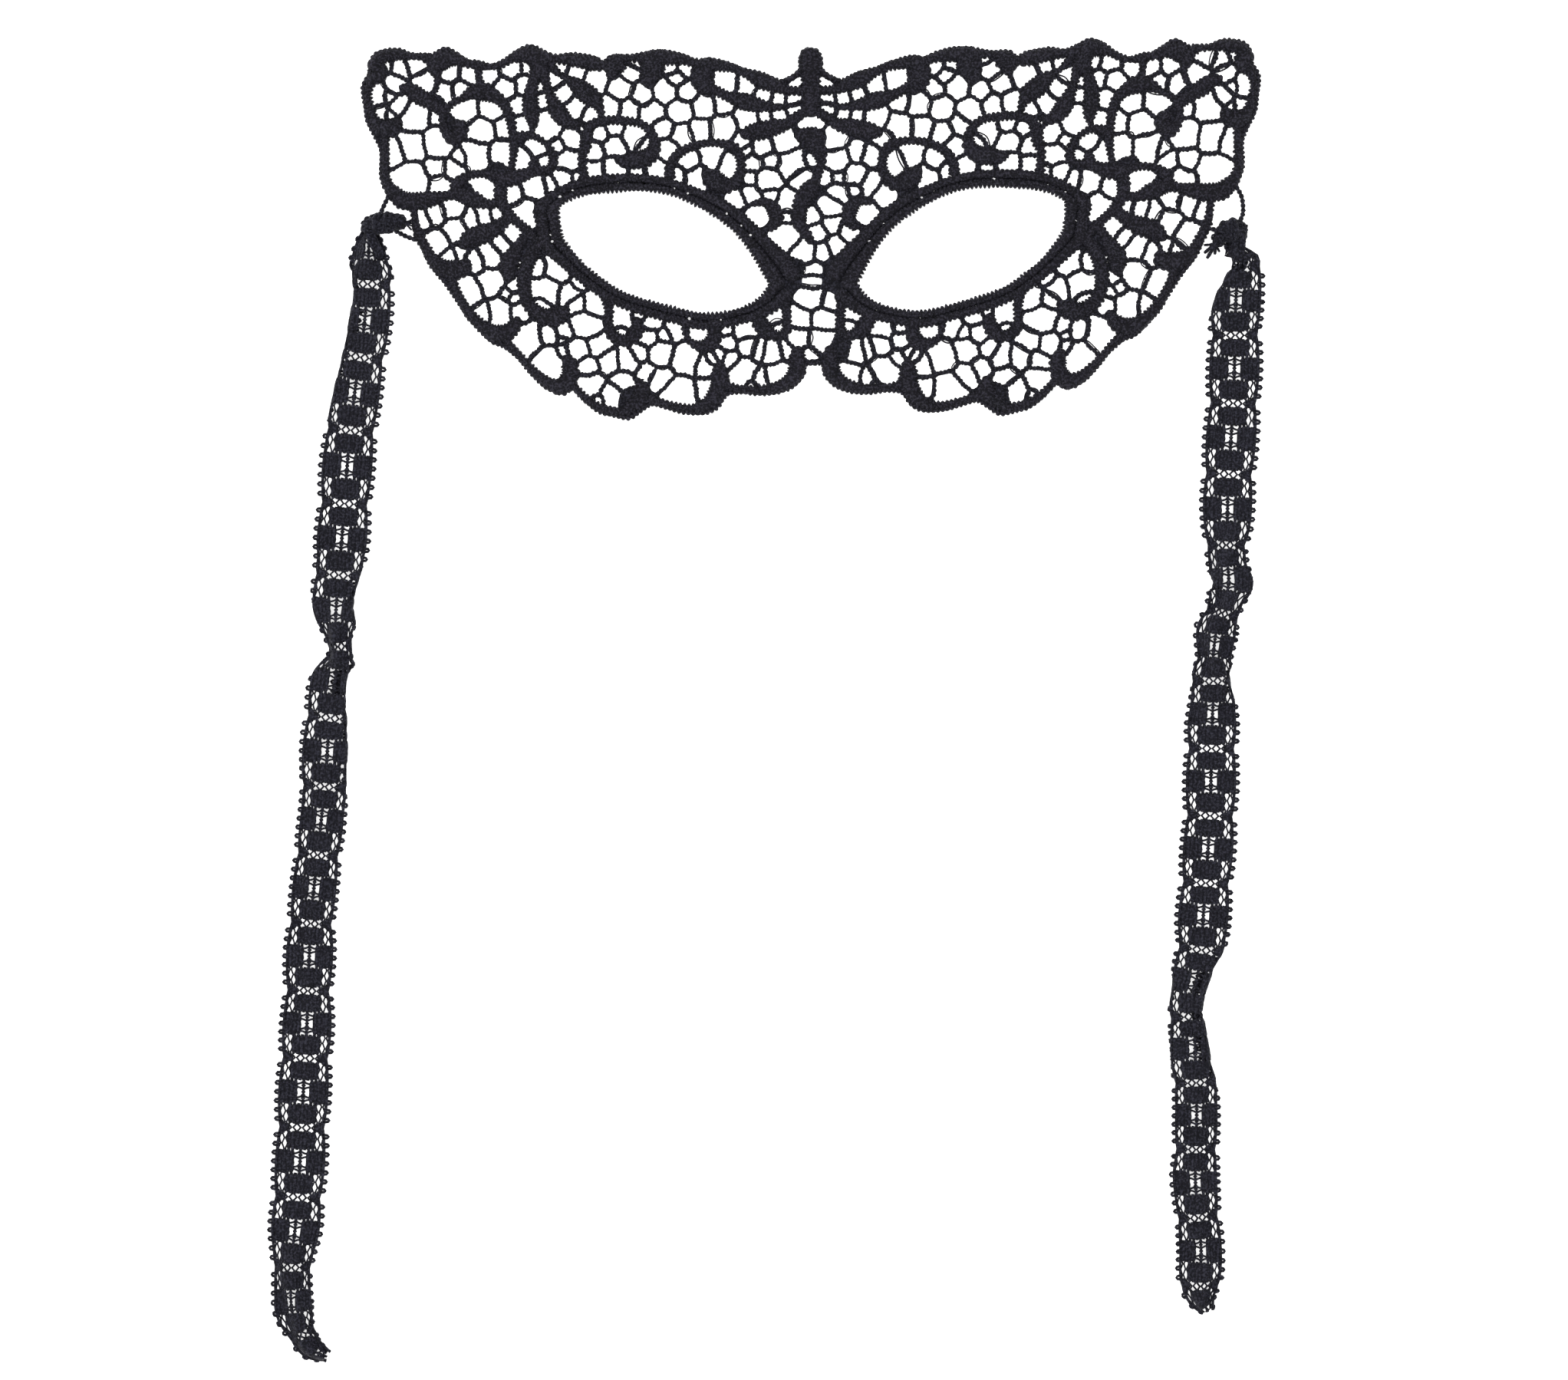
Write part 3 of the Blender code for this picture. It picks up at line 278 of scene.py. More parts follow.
# Gaps of the net, left half and mirrored: across, up, mean radius in millimetres
SIDE_CELLS = (
    # outer corner
    (95.8, 87.2, 2.3), (93.2, 86.6, 1.1), (91.8, 90.3, 1.9), (90.9, 84.1, 1.7), (95, 81.6, 1.6),
    (93, 81.6, .6), (90.5, 93.7, 1.6), (87.2, 95, 1.8), (93.7, 94.7, .8), (85.2, 90.3, 2.2),
    (81, 87.8, 2.1), (79.3, 92.3, 1.8), (75.7, 92, 1.6), (77, 88.2, 1.9), (71, 92, 1.5),
    (66, 93.4, 1.9), (67.3, 88.9, 1.8), (82.8, 85.1, 1.2), (83.2, 81, 1.2), (87.5, 81.3, 3.2),
    (79.7, 79, .7), (76.4, 82.2, 2.6), (71, 82.6, 2.2), (72.8, 77.1, 2.8), (68.1, 77.7, 1.9),
    (92.2, 71.4, 2.5), (88.2, 72.9, 3.1), (82.7, 73.9, 3.1), (83.2, 67.4, 2.1), (77.3, 69.8, 1.4),
    (74, 70.5, 3.1), (68.5, 70.7, 2.7), (78.9, 66.7, 2.1), (69.7, 66.2, 1.2), (88.8, 64.3, 3.8),
    (81.8, 62.5, 2.2), (73, 61.5, 2.8), (76.3, 60.7, .6),
    # temple
    (79.7, 56.2, 1.9), (83.2, 55.1, 2), (86, 53.7, 1.4), (75.2, 53.1, 1.8), (72.6, 54, 1.8),
    (69.5, 54.8, 1.5), (78.9, 50.2, 2.7), (82.6, 47.2, 2.4), (80.4, 43.7, 1.2), (78, 44.5, 1.1),
    (74.8, 41.7, 1.9), (71.2, 43.4, 2.4), (68.8, 46, 1.9), (66, 48.9, 2.1), (62.5, 45.2, 1.3),
    (65, 41, .7), (71.3, 36.5, 2.8), (76, 34, 2.8), (66, 59.9, 1.8), (61.4, 61.7, 2.2),
    (57.7, 62.5, 1.2), (54.9, 64.2, 1.8), (51.5, 64.6, 1.1), (63.5, 55.1, 2.6),
    # cheek
    (66.1, 35.7, 1.3), (67.8, 33, 1.1), (66, 31.7, .95), (65.2, 28.3, 1.6), (69.5, 28.3, 3),
    (72.7, 28, 2), (60.6, 39.9, 1.3), (56.7, 39.9, 2.6), (59.3, 34, 2.9), (60.2, 30.6, 1.5),
    (53.8, 32.8, 1.9), (51.6, 36, 1.1), (52.2, 30.1, 1.6), (48.4, 30.2, 2.3), (63.3, 20.3, 3.4),
    (58.5, 21.7, 1.5), (58.7, 14.7, 3.2), (55.5, 17.3, 1.1), (55.2, 22.9, 1.3), (55.7, 20.8, .7),
    (50.2, 24.8, 3), (52.1, 18, 2.2), (47.6, 19.2, 2.2), (49.8, 13.4, 1.8), (49.3, 8.6, 2.6),
    (45.2, 14.6, 2.3), (41.4, 14.8, 2.5), (42.4, 9.6, 2), (44.8, 5.8, 2.3), (41.1, 4.6, 1.2),
    (47.6, 4.3, .9), (38.6, 17.1, 1.6), (36.8, 11.9, 1.9), (36.6, 21, 1.8), (35.6, 25.3, 1.4),
    (38.8, 27.1, .9), (42.2, 27, 2.5), (42.6, 22.5, .7), (33.1, 21.2, 1.1), (33.7, 16.7, 2.7),
    (33.6, 10.3, 2.3), (30.6, 22.7, 1.7), (28.3, 14.8, 3.2), (29.8, 6.4, 3.3), (24.3, 13.2, 2),
    (24.2, 7.1, 1.6), (22.4, 15.2, 1), (20.7, 16.1, 1), (19, 19.6, 1.4), (19.2, 22.8, .9),
    (18.4, 14.8, 1.5), (15.4, 22.4, 2), (14.8, 18.4, 1.9), (15.7, 11.7, 2.9), (12, 17.4, 1.6),
    (12.2, 10, 1.5), (13.6, 7.9, .6), (9.2, 16.7, 2.1), (8, 11, 2.1), (6.4, 17.5, 1.35),
    (25.3, 21.7, 1.8), (8.6, 26.3, 1.4), (8, 23.7, 1),
    # brow
    (62.7, 94, 1.1), (63.7, 89.5, 1.4), (59.9, 88.2, .85), (59.3, 85.3, 1.15), (65, 83.7, 1.6),
    (63.7, 79, 1.5), (58.2, 78.2, 2.9), (55.2, 94, 1.3), (51.6, 92.6, 1.35), (56.5, 90.5, 1.4),
    (54.5, 87, 1.8), (47.3, 90.3, 2.4), (51.8, 83.2, 2.1), (48.6, 81, 1.9), (53, 74.9, 2.1),
    (50.6, 77.3, .9), (56.1, 72.5, 1.2), (53.7, 69, 2.3), (61, 72.2, 1.6), (64, 69, 2), (59.1, 68, 1.2),
    (42.1, 88.1, 2.4), (39.9, 91.9, 1.7), (38.8, 94.5, .9), (37.3, 86.6, 2), (32.3, 87, 2.3),
    (27.3, 86.8, 1.7), (44.3, 83.3, 2.2), (40.2, 82.5, 2), (35.1, 81.4, 2.5), (46.5, 75.7, 1.1),
    (43.4, 76.8, 1.3), (39.3, 75.2, 2.2), (36.9, 72.6, 1.2), (43.6, 72.6, 2.2), (48, 71.2, 1.7),
    (48, 66.6, 1.6), (43.6, 67, 2.1), (38.7, 65.7, .8), (34, 66.3, 1.6), (30.8, 93.5, 1.1),
    (27.8, 93.3, 1.4), (29.7, 90.7, 1.4), (28.8, 82, 2.5), (23.8, 83, 2.6), (19.7, 83.7, 1.8),
    (32.9, 77.4, 2), (28.6, 75.2, 2.3), (24.4, 76.8, 2.3), (19.4, 77, 2.8), (31.6, 71.3, 2.1),
    (19, 89.6, 2.4), (14.4, 88.9, 2.1), (10.3, 85.9, 1.35), (7.2, 85, 1.3), (3.9, 84.8, 1.1),
    (3.9, 81.6, 1.1), (14.5, 79.5, 2.3), (10.2, 80.2, 1.2), (7.2, 80.5, 1.2), (3.9, 89.2, 1.3),
    (15.9, 73.6, 1.6), (27, 68, 1.7), (22, 69.3, 2.4), (18.2, 67.3, 2.2), (25.2, 64, 2.2),
    (29.8, 64.4, 1.1),
)

# Gaps of one side alone or on the centre line, where left of it is positive
CENTRE_CELLS = (
    # nose, left of the stem
    (14.3, 71, .9), (10.8, 71.6, 1.65), (6.2, 73.1, 2.3), (12.9, 67.7, 1.4), (9.1, 68.1, 1.45),
    (4.6, 67.3, 2.8), (9.6, 62.8, 2.4), (13.5, 63.5, .9), (13.3, 59.1, 1.4), (16.8, 57.3, 1.7),
    (12.2, 53.5, 1.7), (9.2, 59, 1.15), (5.6, 57.1, 2.1), (5.6, 53, .85), (6, 48, 2.6), (2, 43.5, 2.2),
    (3.6, 39.8, 1), (2.2, 63, 1.8),
    # nose, right of the stem
    (0, 78.3, 1.9), (-.2, 68.5, .9), (.1, 53, 1.4), (.3, 38.7, 1.5), (.3, 35.7, 1.4), (.6, 31, 2.4),
    (-4.9, 73.5, 2.2), (-5.5, 68.5, 2.6), (-9.9, 70.4, 1.6), (-13.1, 69.3, 1.5), (-2.8, 63.8, 1.2),
    (-5.9, 63.5, 1), (-9.6, 63.7, 2.3), (-12.8, 61.7, 1.9), (-15.9, 58.8, 1.8), (-12, 54, 1.7),
    (-5.8, 59.2, 1.6), (-9.3, 60.2, .8), (-3.9, 55.4, 1.9), (-1.3, 49, 1.5), (-4.4, 51, 1.6),
    (-5.2, 45.5, 1.5), (-8.1, 48.9, 1.5), (-1.8, 43.5, 1.3), (-3.7, 30, 1.5),
    # below the nose
    (2.8, 25.9, 2.2), (-2.3, 25.5, 2.4), (3.5, 20.3, 2.2), (-1.8, 20, 2.3), (-5.9, 18, 1.3),
    (1, 15.4, 1.3),
)


def spline(points: list | np.ndarray, step: float, closed: bool = False) -> np.ndarray:
    """Evenly spaced points on a smooth curve through rows of numbers.

    Args:
        points: Rows whose first two numbers are x and y.
        step: Distance between the points, about.
        closed: Whether the curve runs back to its start.

    Returns:
        Rows with as many numbers as the given ones.
    """
    rows = np.array(points, dtype=float)
    if closed:
        padded = np.vstack((rows[-1], rows, rows[0], rows[1]))
    else:
        padded = np.vstack((2 * rows[0] - rows[1], rows, 2 * rows[-1] - rows[-2]))
    t = np.linspace(0, 1, SPLINE_SAMPLES, endpoint=False)[:, None]
    dense = []
    for before, first, last, after in zip(padded, padded[1:], padded[2:], padded[3:]):
        dense.append(0.5 * (2 * first + (last - before) * t
                            + (2 * before - 5 * first + 4 * last - after) * t ** 2
                            + (3 * first - before - 3 * last + after) * t ** 3))
    dense = np.vstack((*dense, padded[-2:-1]))
    along = np.concatenate(([0.0], np.cumsum(np.hypot(*np.diff(dense[:, :2], axis=0).T))))
    count = max(3, round(along[-1] / step) + 1)
    stops = np.linspace(0, along[-1], count)[:-1 if closed else None]
    return np.column_stack([np.interp(stops, along, column) for column in dense.T])


def unit(rows: np.ndarray) -> np.ndarray:
    """Rows scaled to length one."""
    return rows / np.maximum(np.linalg.norm(rows, axis=-1, keepdims=True), TINY)


def lengths(path: np.ndarray) -> np.ndarray:
    """The distance along a path at each of its points."""
    return np.concatenate(([0.0], np.cumsum(np.linalg.norm(np.diff(path, axis=0), axis=1))))


def inside(points: np.ndarray, ring: np.ndarray) -> np.ndarray:
    """Whether each point lies inside a closed ring.

    Args:
        points: Rows of x and y.
        ring: Rows of x and y round the ring.

    Returns:
        A truth value for each point.
    """
    x, y = points[:, :1], points[:, 1:2]
    x0, y0 = ring[:, 0], ring[:, 1]
    x1, y1 = np.roll(x0, -1), np.roll(y0, -1)
    spans = (y0 > y) != (y1 > y)
    rise = np.where(np.abs(y1 - y0) < TINY, TINY, y1 - y0)
    return ((spans & (x < (x1 - x0) * (y - y0) / rise + x0)).sum(axis=1) % 2) == 1


class ThreadMesh:
    """Threads and cords swept into one mesh, with a UV map that runs round and along each.

    The UV map is in metres, so a pattern on it keeps its real size.
    """

    def __init__(self) -> None:
        """Starts an empty mesh."""
        self.points: list[np.ndarray] = []
        self.quads: list[np.ndarray] = []
        self.uvs: list[np.ndarray] = []
        self.count = 0

    def rings(self, rings: np.ndarray, closed: bool = False) -> None:
        """Joins rings of points into a closed skin with flat ends.

        Args:
            rings: Points, stations by sides by three; the number of sides is even.
            closed: Whether the last ring joins the first.
        """
        stations, sides, _ = rings.shape
        index = self.count + np.arange(stations * sides).reshape(stations, sides)
        first = index if closed else index[:-1]
        after = np.roll(index, -1, axis=0) if closed else index[1:]
        turn = np.roll(np.arange(sides), -1)
        self.quads.append(np.stack((first, first[:, turn], after[:, turn], after), axis=-1).reshape(-1, 4))

        middle = rings.mean(axis=1)
        along = lengths(np.vstack((middle, middle[:1])) if closed else middle)
        girth = float(np.median(np.linalg.norm(rings - np.roll(rings, 1, axis=1), axis=2).sum(axis=1)))
        u = np.linspace(0, girth, sides + 1)
        rows = len(first)
        low, high = along[:rows, None], along[1:rows + 1, None]
        left, right = u[None, :-1], u[None, 1:]
        corners = ((left, low), (right, low), (right, high), (left, high))
        faces = [np.stack(np.broadcast_arrays(a, b), axis=-1) for a, b in corners]
        self.uvs.append(np.stack(faces, axis=2).reshape(-1, 4, 2))

        if not closed:
            for ring, order, level in ((index[0], -1, along[0]), (index[-1], 1, along[-1])):
                caps = np.array([[ring[k], ring[k + 1], ring[sides - 2 - k], ring[sides - 1 - k]]
                                 for k in range(sides // 2 - 1)])
                self.quads.append(caps[:, ::order])
                self.uvs.append(np.full((len(caps), 4, 2), level))
        self.points.append(rings.reshape(-1, 3))
        self.count += stations * sides

    def tube(self, path: np.ndarray, radius: float | np.ndarray, sides: int = 6,
             flat: float = 1.0, up: np.ndarray | None = None, closed: bool = False) -> None:
        """Sweeps a round or flattened thread along a path.

        Args:
            path: Rows of x, y and z.
            radius: One radius, or one for each point.
            sides: Corners of the section, an even number.
            flat: Height of the section as a share of its width.
            up: The cloth's own up at each point; straight up if left out.
            closed: Whether the path runs back to its start.
        """
        if closed:
            ahead = np.roll(path, -1, axis=0) - np.roll(path, 1, axis=0)
        else:
            ahead = np.gradient(path, axis=0)
        ahead = unit(ahead)
        lift = np.tile((0.0, 0.0, 1.0), (len(path), 1)) if up is None else up
        side = unit(np.cross(lift, ahead))
        lift = np.cross(ahead, side)
        turn = np.arange(sides) * 2 * math.pi / sides
        radius = np.broadcast_to(radius, len(path))[:, None, None]
        rings = (path[:, None, :] + radius * np.cos(turn)[None, :, None] * side[:, None, :]
                 + flat * radius * np.sin(turn)[None, :, None] * lift[:, None, :])
        self.rings(rings, closed)

    def rope(self, path: np.ndarray, radius: float, pitch: float, phase: float = 0.0,
             flat: float = 0.85) -> None:
        """Sweeps plies twisted round each other along a path.

        Args:
            path: Rows of x, y and z, about a sixth of the pitch apart.
            radius: Half the rope's width.
            pitch: Length of one full twist.
            phase: Turn at the start, in radians.
            flat: Height of the rope as a share of its width.
        """
        ahead = unit(np.gradient(path, axis=0))
        side = unit(np.cross((0.0, 0.0, 1.0), ahead))
        lift = np.cross(ahead, side)
        turn = phase + lengths(path) / pitch * 2 * math.pi
        radius = radius * (ROPE_WAIST + ROPE_SWELL * np.cos(turn * ROPE_PLIES / 2) ** 4)[:, None]
        ply = radius * PLY_SHARE
        for number in range(ROPE_PLIES):
            angle = (turn + number * 2 * math.pi / ROPE_PLIES)[:, None]
            centre = path + (radius - ply) * (np.cos(angle) * side + flat * np.sin(angle) * lift)
            self.tube(centre, ply[:, 0])

    def to_object(self, name: str, material: bpy.types.Material) -> bpy.types.Object:
        """Makes the mesh object.

        Args:
            name: Name of the object.
            material: Its one material.

        Returns:
            The new object, at the origin.
        """
        points = np.vstack(self.points)
        quads = np.vstack(self.quads)
        mesh = bpy.data.meshes.new(name)
        mesh.vertices.add(len(points))
        mesh.vertices.foreach_set("co", points.astype(np.float32).ravel())
        mesh.loops.add(quads.size)
        mesh.loops.foreach_set("vertex_index", quads.astype(np.int32).ravel())
        mesh.polygons.add(len(quads))
        mesh.polygons.foreach_set("loop_start", np.arange(0, quads.size, 4, dtype=np.int32))
        mesh.polygons.foreach_set("use_smooth", np.full(len(quads), True))
        layer = mesh.uv_layers.new(name=THREAD_MAP)
        layer.uv.foreach_set("vector", np.vstack(self.uvs).astype(np.float32).ravel())
        mesh.update(calc_edges=True)
        mesh.validate()
        mesh.materials.append(material)
        piece = bpy.data.objects.new(name, mesh)
        bpy.context.scene.collection.objects.link(piece)
        LOG.info("%s: %d faces", name, len(mesh.polygons))
        return piece


@dataclass(frozen=True)
class ThreadFinish:
    """One dyed thread finish."""

    name: str
    dark: tuple[float, float, float, float]
    light: tuple[float, float, float, float]
    roughness: float
    ply: float
    slant: float
    bump: float


class Dye:
    """Shader groups and materials of the lace."""

    speckle_scale: float = 1900.0
    speckle_span: tuple[float, float] = (0.46, 0.66)
    patch_scale: float = 90.0
    patch_share: float = 0.22
    fibre_scale: float = 3800.0
    fibre_share: float = 0.7
    specular: float = 0.12
    sheen: float = 0.015
    sheen_roughness: float = 0.45
    roughness_span: tuple[float, float] = (0.10, 0.08)
    bump_depth: float = 0.00024

    def __init__(self) -> None:
        """Builds the shared groups."""
        self.tone = self._tone_group()
        self.plies = self._ply_group()

    @staticmethod
    def _group(name: str, inputs: tuple[tuple[str, str], ...], outputs: tuple[tuple[str, str], ...]
               ) -> tuple[bpy.types.NodeTree, bpy.types.Node, bpy.types.Node]:
        """Starts a node group with named sockets.

        Args:
            name: Name of the group.
            inputs: Name and socket type of each input.
            outputs: Name and socket type of each output.

        Returns:
            The group, its input node and its output node.
        """
        group = bpy.data.node_groups.new(name, "ShaderNodeTree")
        for label, kind in inputs:
            group.interface.new_socket(label, in_out="INPUT", socket_type=kind)
        for label, kind in outputs:
            group.interface.new_socket(label, in_out="OUTPUT", socket_type=kind)
        return group, group.nodes.new("NodeGroupInput"), group.nodes.new("NodeGroupOutput")

    def _tone_group(self) -> bpy.types.NodeTree:
        """Colour of dyed thread: patchy over centimetres and speckled over single threads."""
        group, start, end = self._group(
            "dyed_thread_tone",
            (("Place", "NodeSocketVector"), ("Dark", "NodeSocketColor"), ("Light", "NodeSocketColor")),
            (("Colour", "NodeSocketColor"), ("Speckle", "NodeSocketFloat")))
        nodes, links = group.nodes, group.links
        speckle = nodes.new("ShaderNodeTexNoise")
        speckle.inputs["Scale"].default_value = self.speckle_scale
        speckle.inputs["Detail"].default_value = 2.0
        patch = nodes.new("ShaderNodeTexNoise")
        patch.inputs["Scale"].default_value = self.patch_scale
        patch.inputs["Detail"].default_value = 3.0
        ramp = nodes.new("ShaderNodeValToRGB")
        ramp.color_ramp.elements[0].position, ramp.color_ramp.elements[1].position = self.speckle_span
        blend = nodes.new("ShaderNodeMath")
        blend.operation = "MULTIPLY_ADD"
        blend.inputs[1].default_value = self.patch_share
        mix = nodes.new("ShaderNodeMix")
        mix.data_type = "RGBA"
        links.new(start.outputs["Place"], speckle.inputs["Vector"])
        links.new(start.outputs["Place"], patch.inputs["Vector"])
        links.new(speckle.outputs["Fac"], ramp.inputs["Fac"])
        links.new(patch.outputs["Fac"], blend.inputs[0])
        links.new(ramp.outputs["Color"], blend.inputs[2])
        links.new(blend.outputs["Value"], mix.inputs["Factor"])
        links.new(start.outputs["Dark"], mix.inputs["A"])
        links.new(start.outputs["Light"], mix.inputs["B"])
        links.new(mix.outputs["Result"], end.inputs["Colour"])
        links.new(ramp.outputs["Color"], end.inputs["Speckle"])
        return group

    def _ply_group(self) -> bpy.types.NodeTree:
        """Height of the fine plies that run slantwise along a thread, with loose fibres."""
        group, start, end = self._group(
            "thread_plies",
            (("Along", "NodeSocketVector"), ("Ply", "NodeSocketFloat"), ("Slant", "NodeSocketFloat"),
             ("Place", "NodeSocketVector")),
            (("Height", "NodeSocketFloat"),))
        nodes, links = group.nodes, group.links
        split = nodes.new("ShaderNodeSeparateXYZ")
        lean = nodes.new("ShaderNodeMath")
        lean.operation = "MULTIPLY_ADD"
        count = nodes.new("ShaderNodeMath")
        count.operation = "DIVIDE"
        wave = nodes.new("ShaderNodeMath")
        wave.operation = "PINGPONG"
        wave.inputs[1].default_value = 0.5
        fibres = nodes.new("ShaderNodeTexNoise")
        fibres.inputs["Scale"].default_value = self.fibre_scale
        fibres.inputs["Detail"].default_value = 2.0
        total = nodes.new("ShaderNodeMath")
        total.operation = "MULTIPLY_ADD"
        total.inputs[1].default_value = self.fibre_share
        links.new(start.outputs["Along"], split.inputs["Vector"])
        links.new(split.outputs["X"], lean.inputs[0])
        links.new(start.outputs["Slant"], lean.inputs[1])
        links.new(split.outputs["Y"], lean.inputs[2])
        links.new(lean.outputs["Value"], count.inputs[0])
        links.new(start.outputs["Ply"], count.inputs[1])
        links.new(count.outputs["Value"], wave.inputs[0])
        links.new(start.outputs["Place"], fibres.inputs["Vector"])
        links.new(fibres.outputs["Fac"], total.inputs[0])
        links.new(wave.outputs["Value"], total.inputs[2])
        links.new(total.outputs["Value"], end.inputs["Height"])
        return group

    def thread(self, finish: ThreadFinish) -> bpy.types.Material:
        """The material of one thread finish.

        Args:
            finish: Its tones, roughness and twist.

        Returns:
            The new material.
        """
        material = bpy.data.materials.new(finish.name)
        material.use_nodes = True
        nodes, links = material.node_tree.nodes, material.node_tree.links
        shader = nodes["Principled BSDF"]
        shader.inputs["Specular IOR Level"].default_value = self.specular
        shader.inputs["Sheen Weight"].default_value = self.sheen
        shader.inputs["Sheen Roughness"].default_value = self.sheen_roughness
        place = nodes.new("ShaderNodeTexCoord")
        along = nodes.new("ShaderNodeUVMap")
        along.uv_map = THREAD_MAP
        tone = nodes.new("ShaderNodeGroup")
        tone.node_tree = self.tone
        tone.inputs["Dark"].default_value = finish.dark
        tone.inputs["Light"].default_value = finish.light
        plies = nodes.new("ShaderNodeGroup")
        plies.node_tree = self.plies
        plies.inputs["Ply"].default_value = finish.ply
        plies.inputs["Slant"].default_value = finish.slant
        rough = nodes.new("ShaderNodeMapRange")
        rough.inputs["To Min"].default_value = finish.roughness + self.roughness_span[0]
        rough.inputs["To Max"].default_value = finish.roughness - self.roughness_span[1]
        bump = nodes.new("ShaderNodeBump")
        bump.inputs["Strength"].default_value = finish.bump
        bump.inputs["Distance"].default_value = self.bump_depth
        links.new(place.outputs["Object"], tone.inputs["Place"])
        links.new(place.outputs["Object"], plies.inputs["Place"])
        links.new(along.outputs["UV"], plies.inputs["Along"])
        links.new(tone.outputs["Colour"], shader.inputs["Base Color"])
        links.new(tone.outputs["Speckle"], rough.inputs["Value"])
        links.new(rough.outputs["Result"], shader.inputs["Roughness"])
        links.new(plies.outputs["Height"], bump.inputs["Height"])
        links.new(bump.outputs["Normal"], shader.inputs["Normal"])
        return material


NET_THREAD = ThreadFinish("net_thread", dark=(0.0012, 0.0012, 0.0024, 1), light=(0.0225, 0.0222, 0.0325, 1),
                          roughness=0.62, ply=0.00036, slant=1.2, bump=0.7)
SATIN_CORD = ThreadFinish("satin_stitched_cord", dark=(0.0012, 0.0011, 0.0022, 1),
                          light=(0.0238, 0.0225, 0.0325, 1),
                          roughness=0.56, ply=0.00034, slant=0.15, bump=0.9)
TIE_THREAD = ThreadFinish("tie_thread", dark=(0.0014, 0.0014, 0.0032, 1), light=(0.0236, 0.0236, 0.0350, 1),
                          roughness=0.60, ply=0.00040, slant=0.9, bump=0.8)


@dataclass(frozen=True)
class NetRules:
    """How far the gaps and bars of the net run.

    Attributes:
        gap_rays: Points round a gap.
        bar_rays: Rays from a cell that look for its bars.
        near: Neighbours within this are looked at; cell radii, neighbour radii and metres.
        reach: Farthest that a gap runs, in radii of its cell.
        ray_start: Where a ray starts to look for a cord, in radii.
        ray_over: How far past the reach it looks, in radii.
        ray_steps: Steps along a ray.
        far: Reach of a ray that meets nothing, in metres.
        band: Spare distance when cords near a cell are picked, in metres.
        tuck: How far a gap runs in under a cord, in metres.
        edge_wall: Width kept inside the panel's edges, in bar widths.
        gap_wall: Width kept towards a neighbour, in bar widths.
        short: A ray below this share of the radius is covered by a cord.
        covered: Share of such rays above which there is no gap.
        least: Least reach of a gap, in radii.
        bar_reach: Farthest that a bar lies from its cell, in radii.
        bar_tuck: How far a bar runs in under a cord, in metres.
        bar_lap: How far its ends run on, in metres.
        bar_least: Shortest bar, in metres.
    """

    gap_rays: int = 28
    bar_rays: int = 72
    near: tuple[float, float, float] = (3, 2, 0.002)
    reach: float = 1.9
    ray_start: float = 0.2
    ray_over: float = 0.1
    ray_steps: int = 56
    far: float = 1.0
    band: float = 0.001
    tuck: float = 0.00030
    edge_wall: float = 0.8
    gap_wall: float = 0.26
    short: float = 0.3
    covered: float = 0.2
    least: float = 0.22
    bar_reach: float = 2.3
    bar_tuck: float = 0.0013
    bar_lap: float = 0.00028
    bar_least: float = 0.0007


@dataclass(frozen=True)
class ThreadPlay:
    """How unevenly the threads of the net lie; pairs are the ends of a range."""

    bow: float = 0.00022
    wave: tuple[float, float] = (0.08, 0.17)
    wave_length: float = 0.0019
    rise: tuple[float, float] = (-0.00004, 0.00008)
    thick: tuple[float, float] = (0.86, 1.14)
    pitch: tuple[float, float] = (0.85, 1.2)
    knob_reach: tuple[float, float] = (0.35, 0.60)
    knob_size: tuple[float, float] = (0.36, 0.52)
    stray_share: float = 0.30
    stray_step: float = 0.0005
    stray_bow: tuple[float, float] = (0.50, 0.95)
    stray_wave: tuple[float, float] = (-0.15, 0.15)
    stray_rise: tuple[float, float] = (-0.0002, 0.0003)
    stray_radius: tuple[float, float] = (0.00014, 0.00022)


@dataclass(frozen=True)
class StitchShape:
    """What all satin-stitched cords share.

    Attributes:
        wobbles: How many uneven stitch sizes are drawn.
        wobble: The range that they are drawn from.
        starts: Range of the first stitch's place among them.
        ridge_curve: Exponent of a ridge; a small one is round.
        ridge_level: Where a ridge's relief is nothing.
        tooth_curve: Exponent of a tooth.
        tooth_level: Where a tooth neither stands out nor cuts in.
        full_half: Half width from which the stitches have their full size.
        least_taper: Least size of a stitch at a cord's thin end.
        crown_base: Height of the thinnest cord, as a share of the top.
        crown_half: Half width that adds a whole top to the height.
        crown_least: Least height, as a share of the top.
        belly: How far the underside bulges, as a share of the top.
        relief_from: How far up the section the ridges begin, from 0 to 1.
        sink: How far the underside reaches below the ground.
        hole_reach: Distance within which a needle hole moves a cord's skin.
        hole_rim: The skin's distance from a hole, in hole radii.
    """

    wobbles: int = 4096
    wobble: tuple[float, float] = (0.35, 1.40)
    starts: tuple[int, int] = (0, 2000)
    ridge_curve: float = 0.7
    ridge_level: float = 0.6
    tooth_curve: float = 0.55
    tooth_level: float = 0.68
    full_half: float = 0.0009
    least_taper: float = 0.25
    crown_base: float = 0.55
    crown_half: float = 0.0040
    crown_least: float = 0.3
    belly: float = 0.10
    relief_from: float = 0.1
    sink: float = 0.0001
    hole_reach: float = 0.006
    hole_rim: float = 1.15


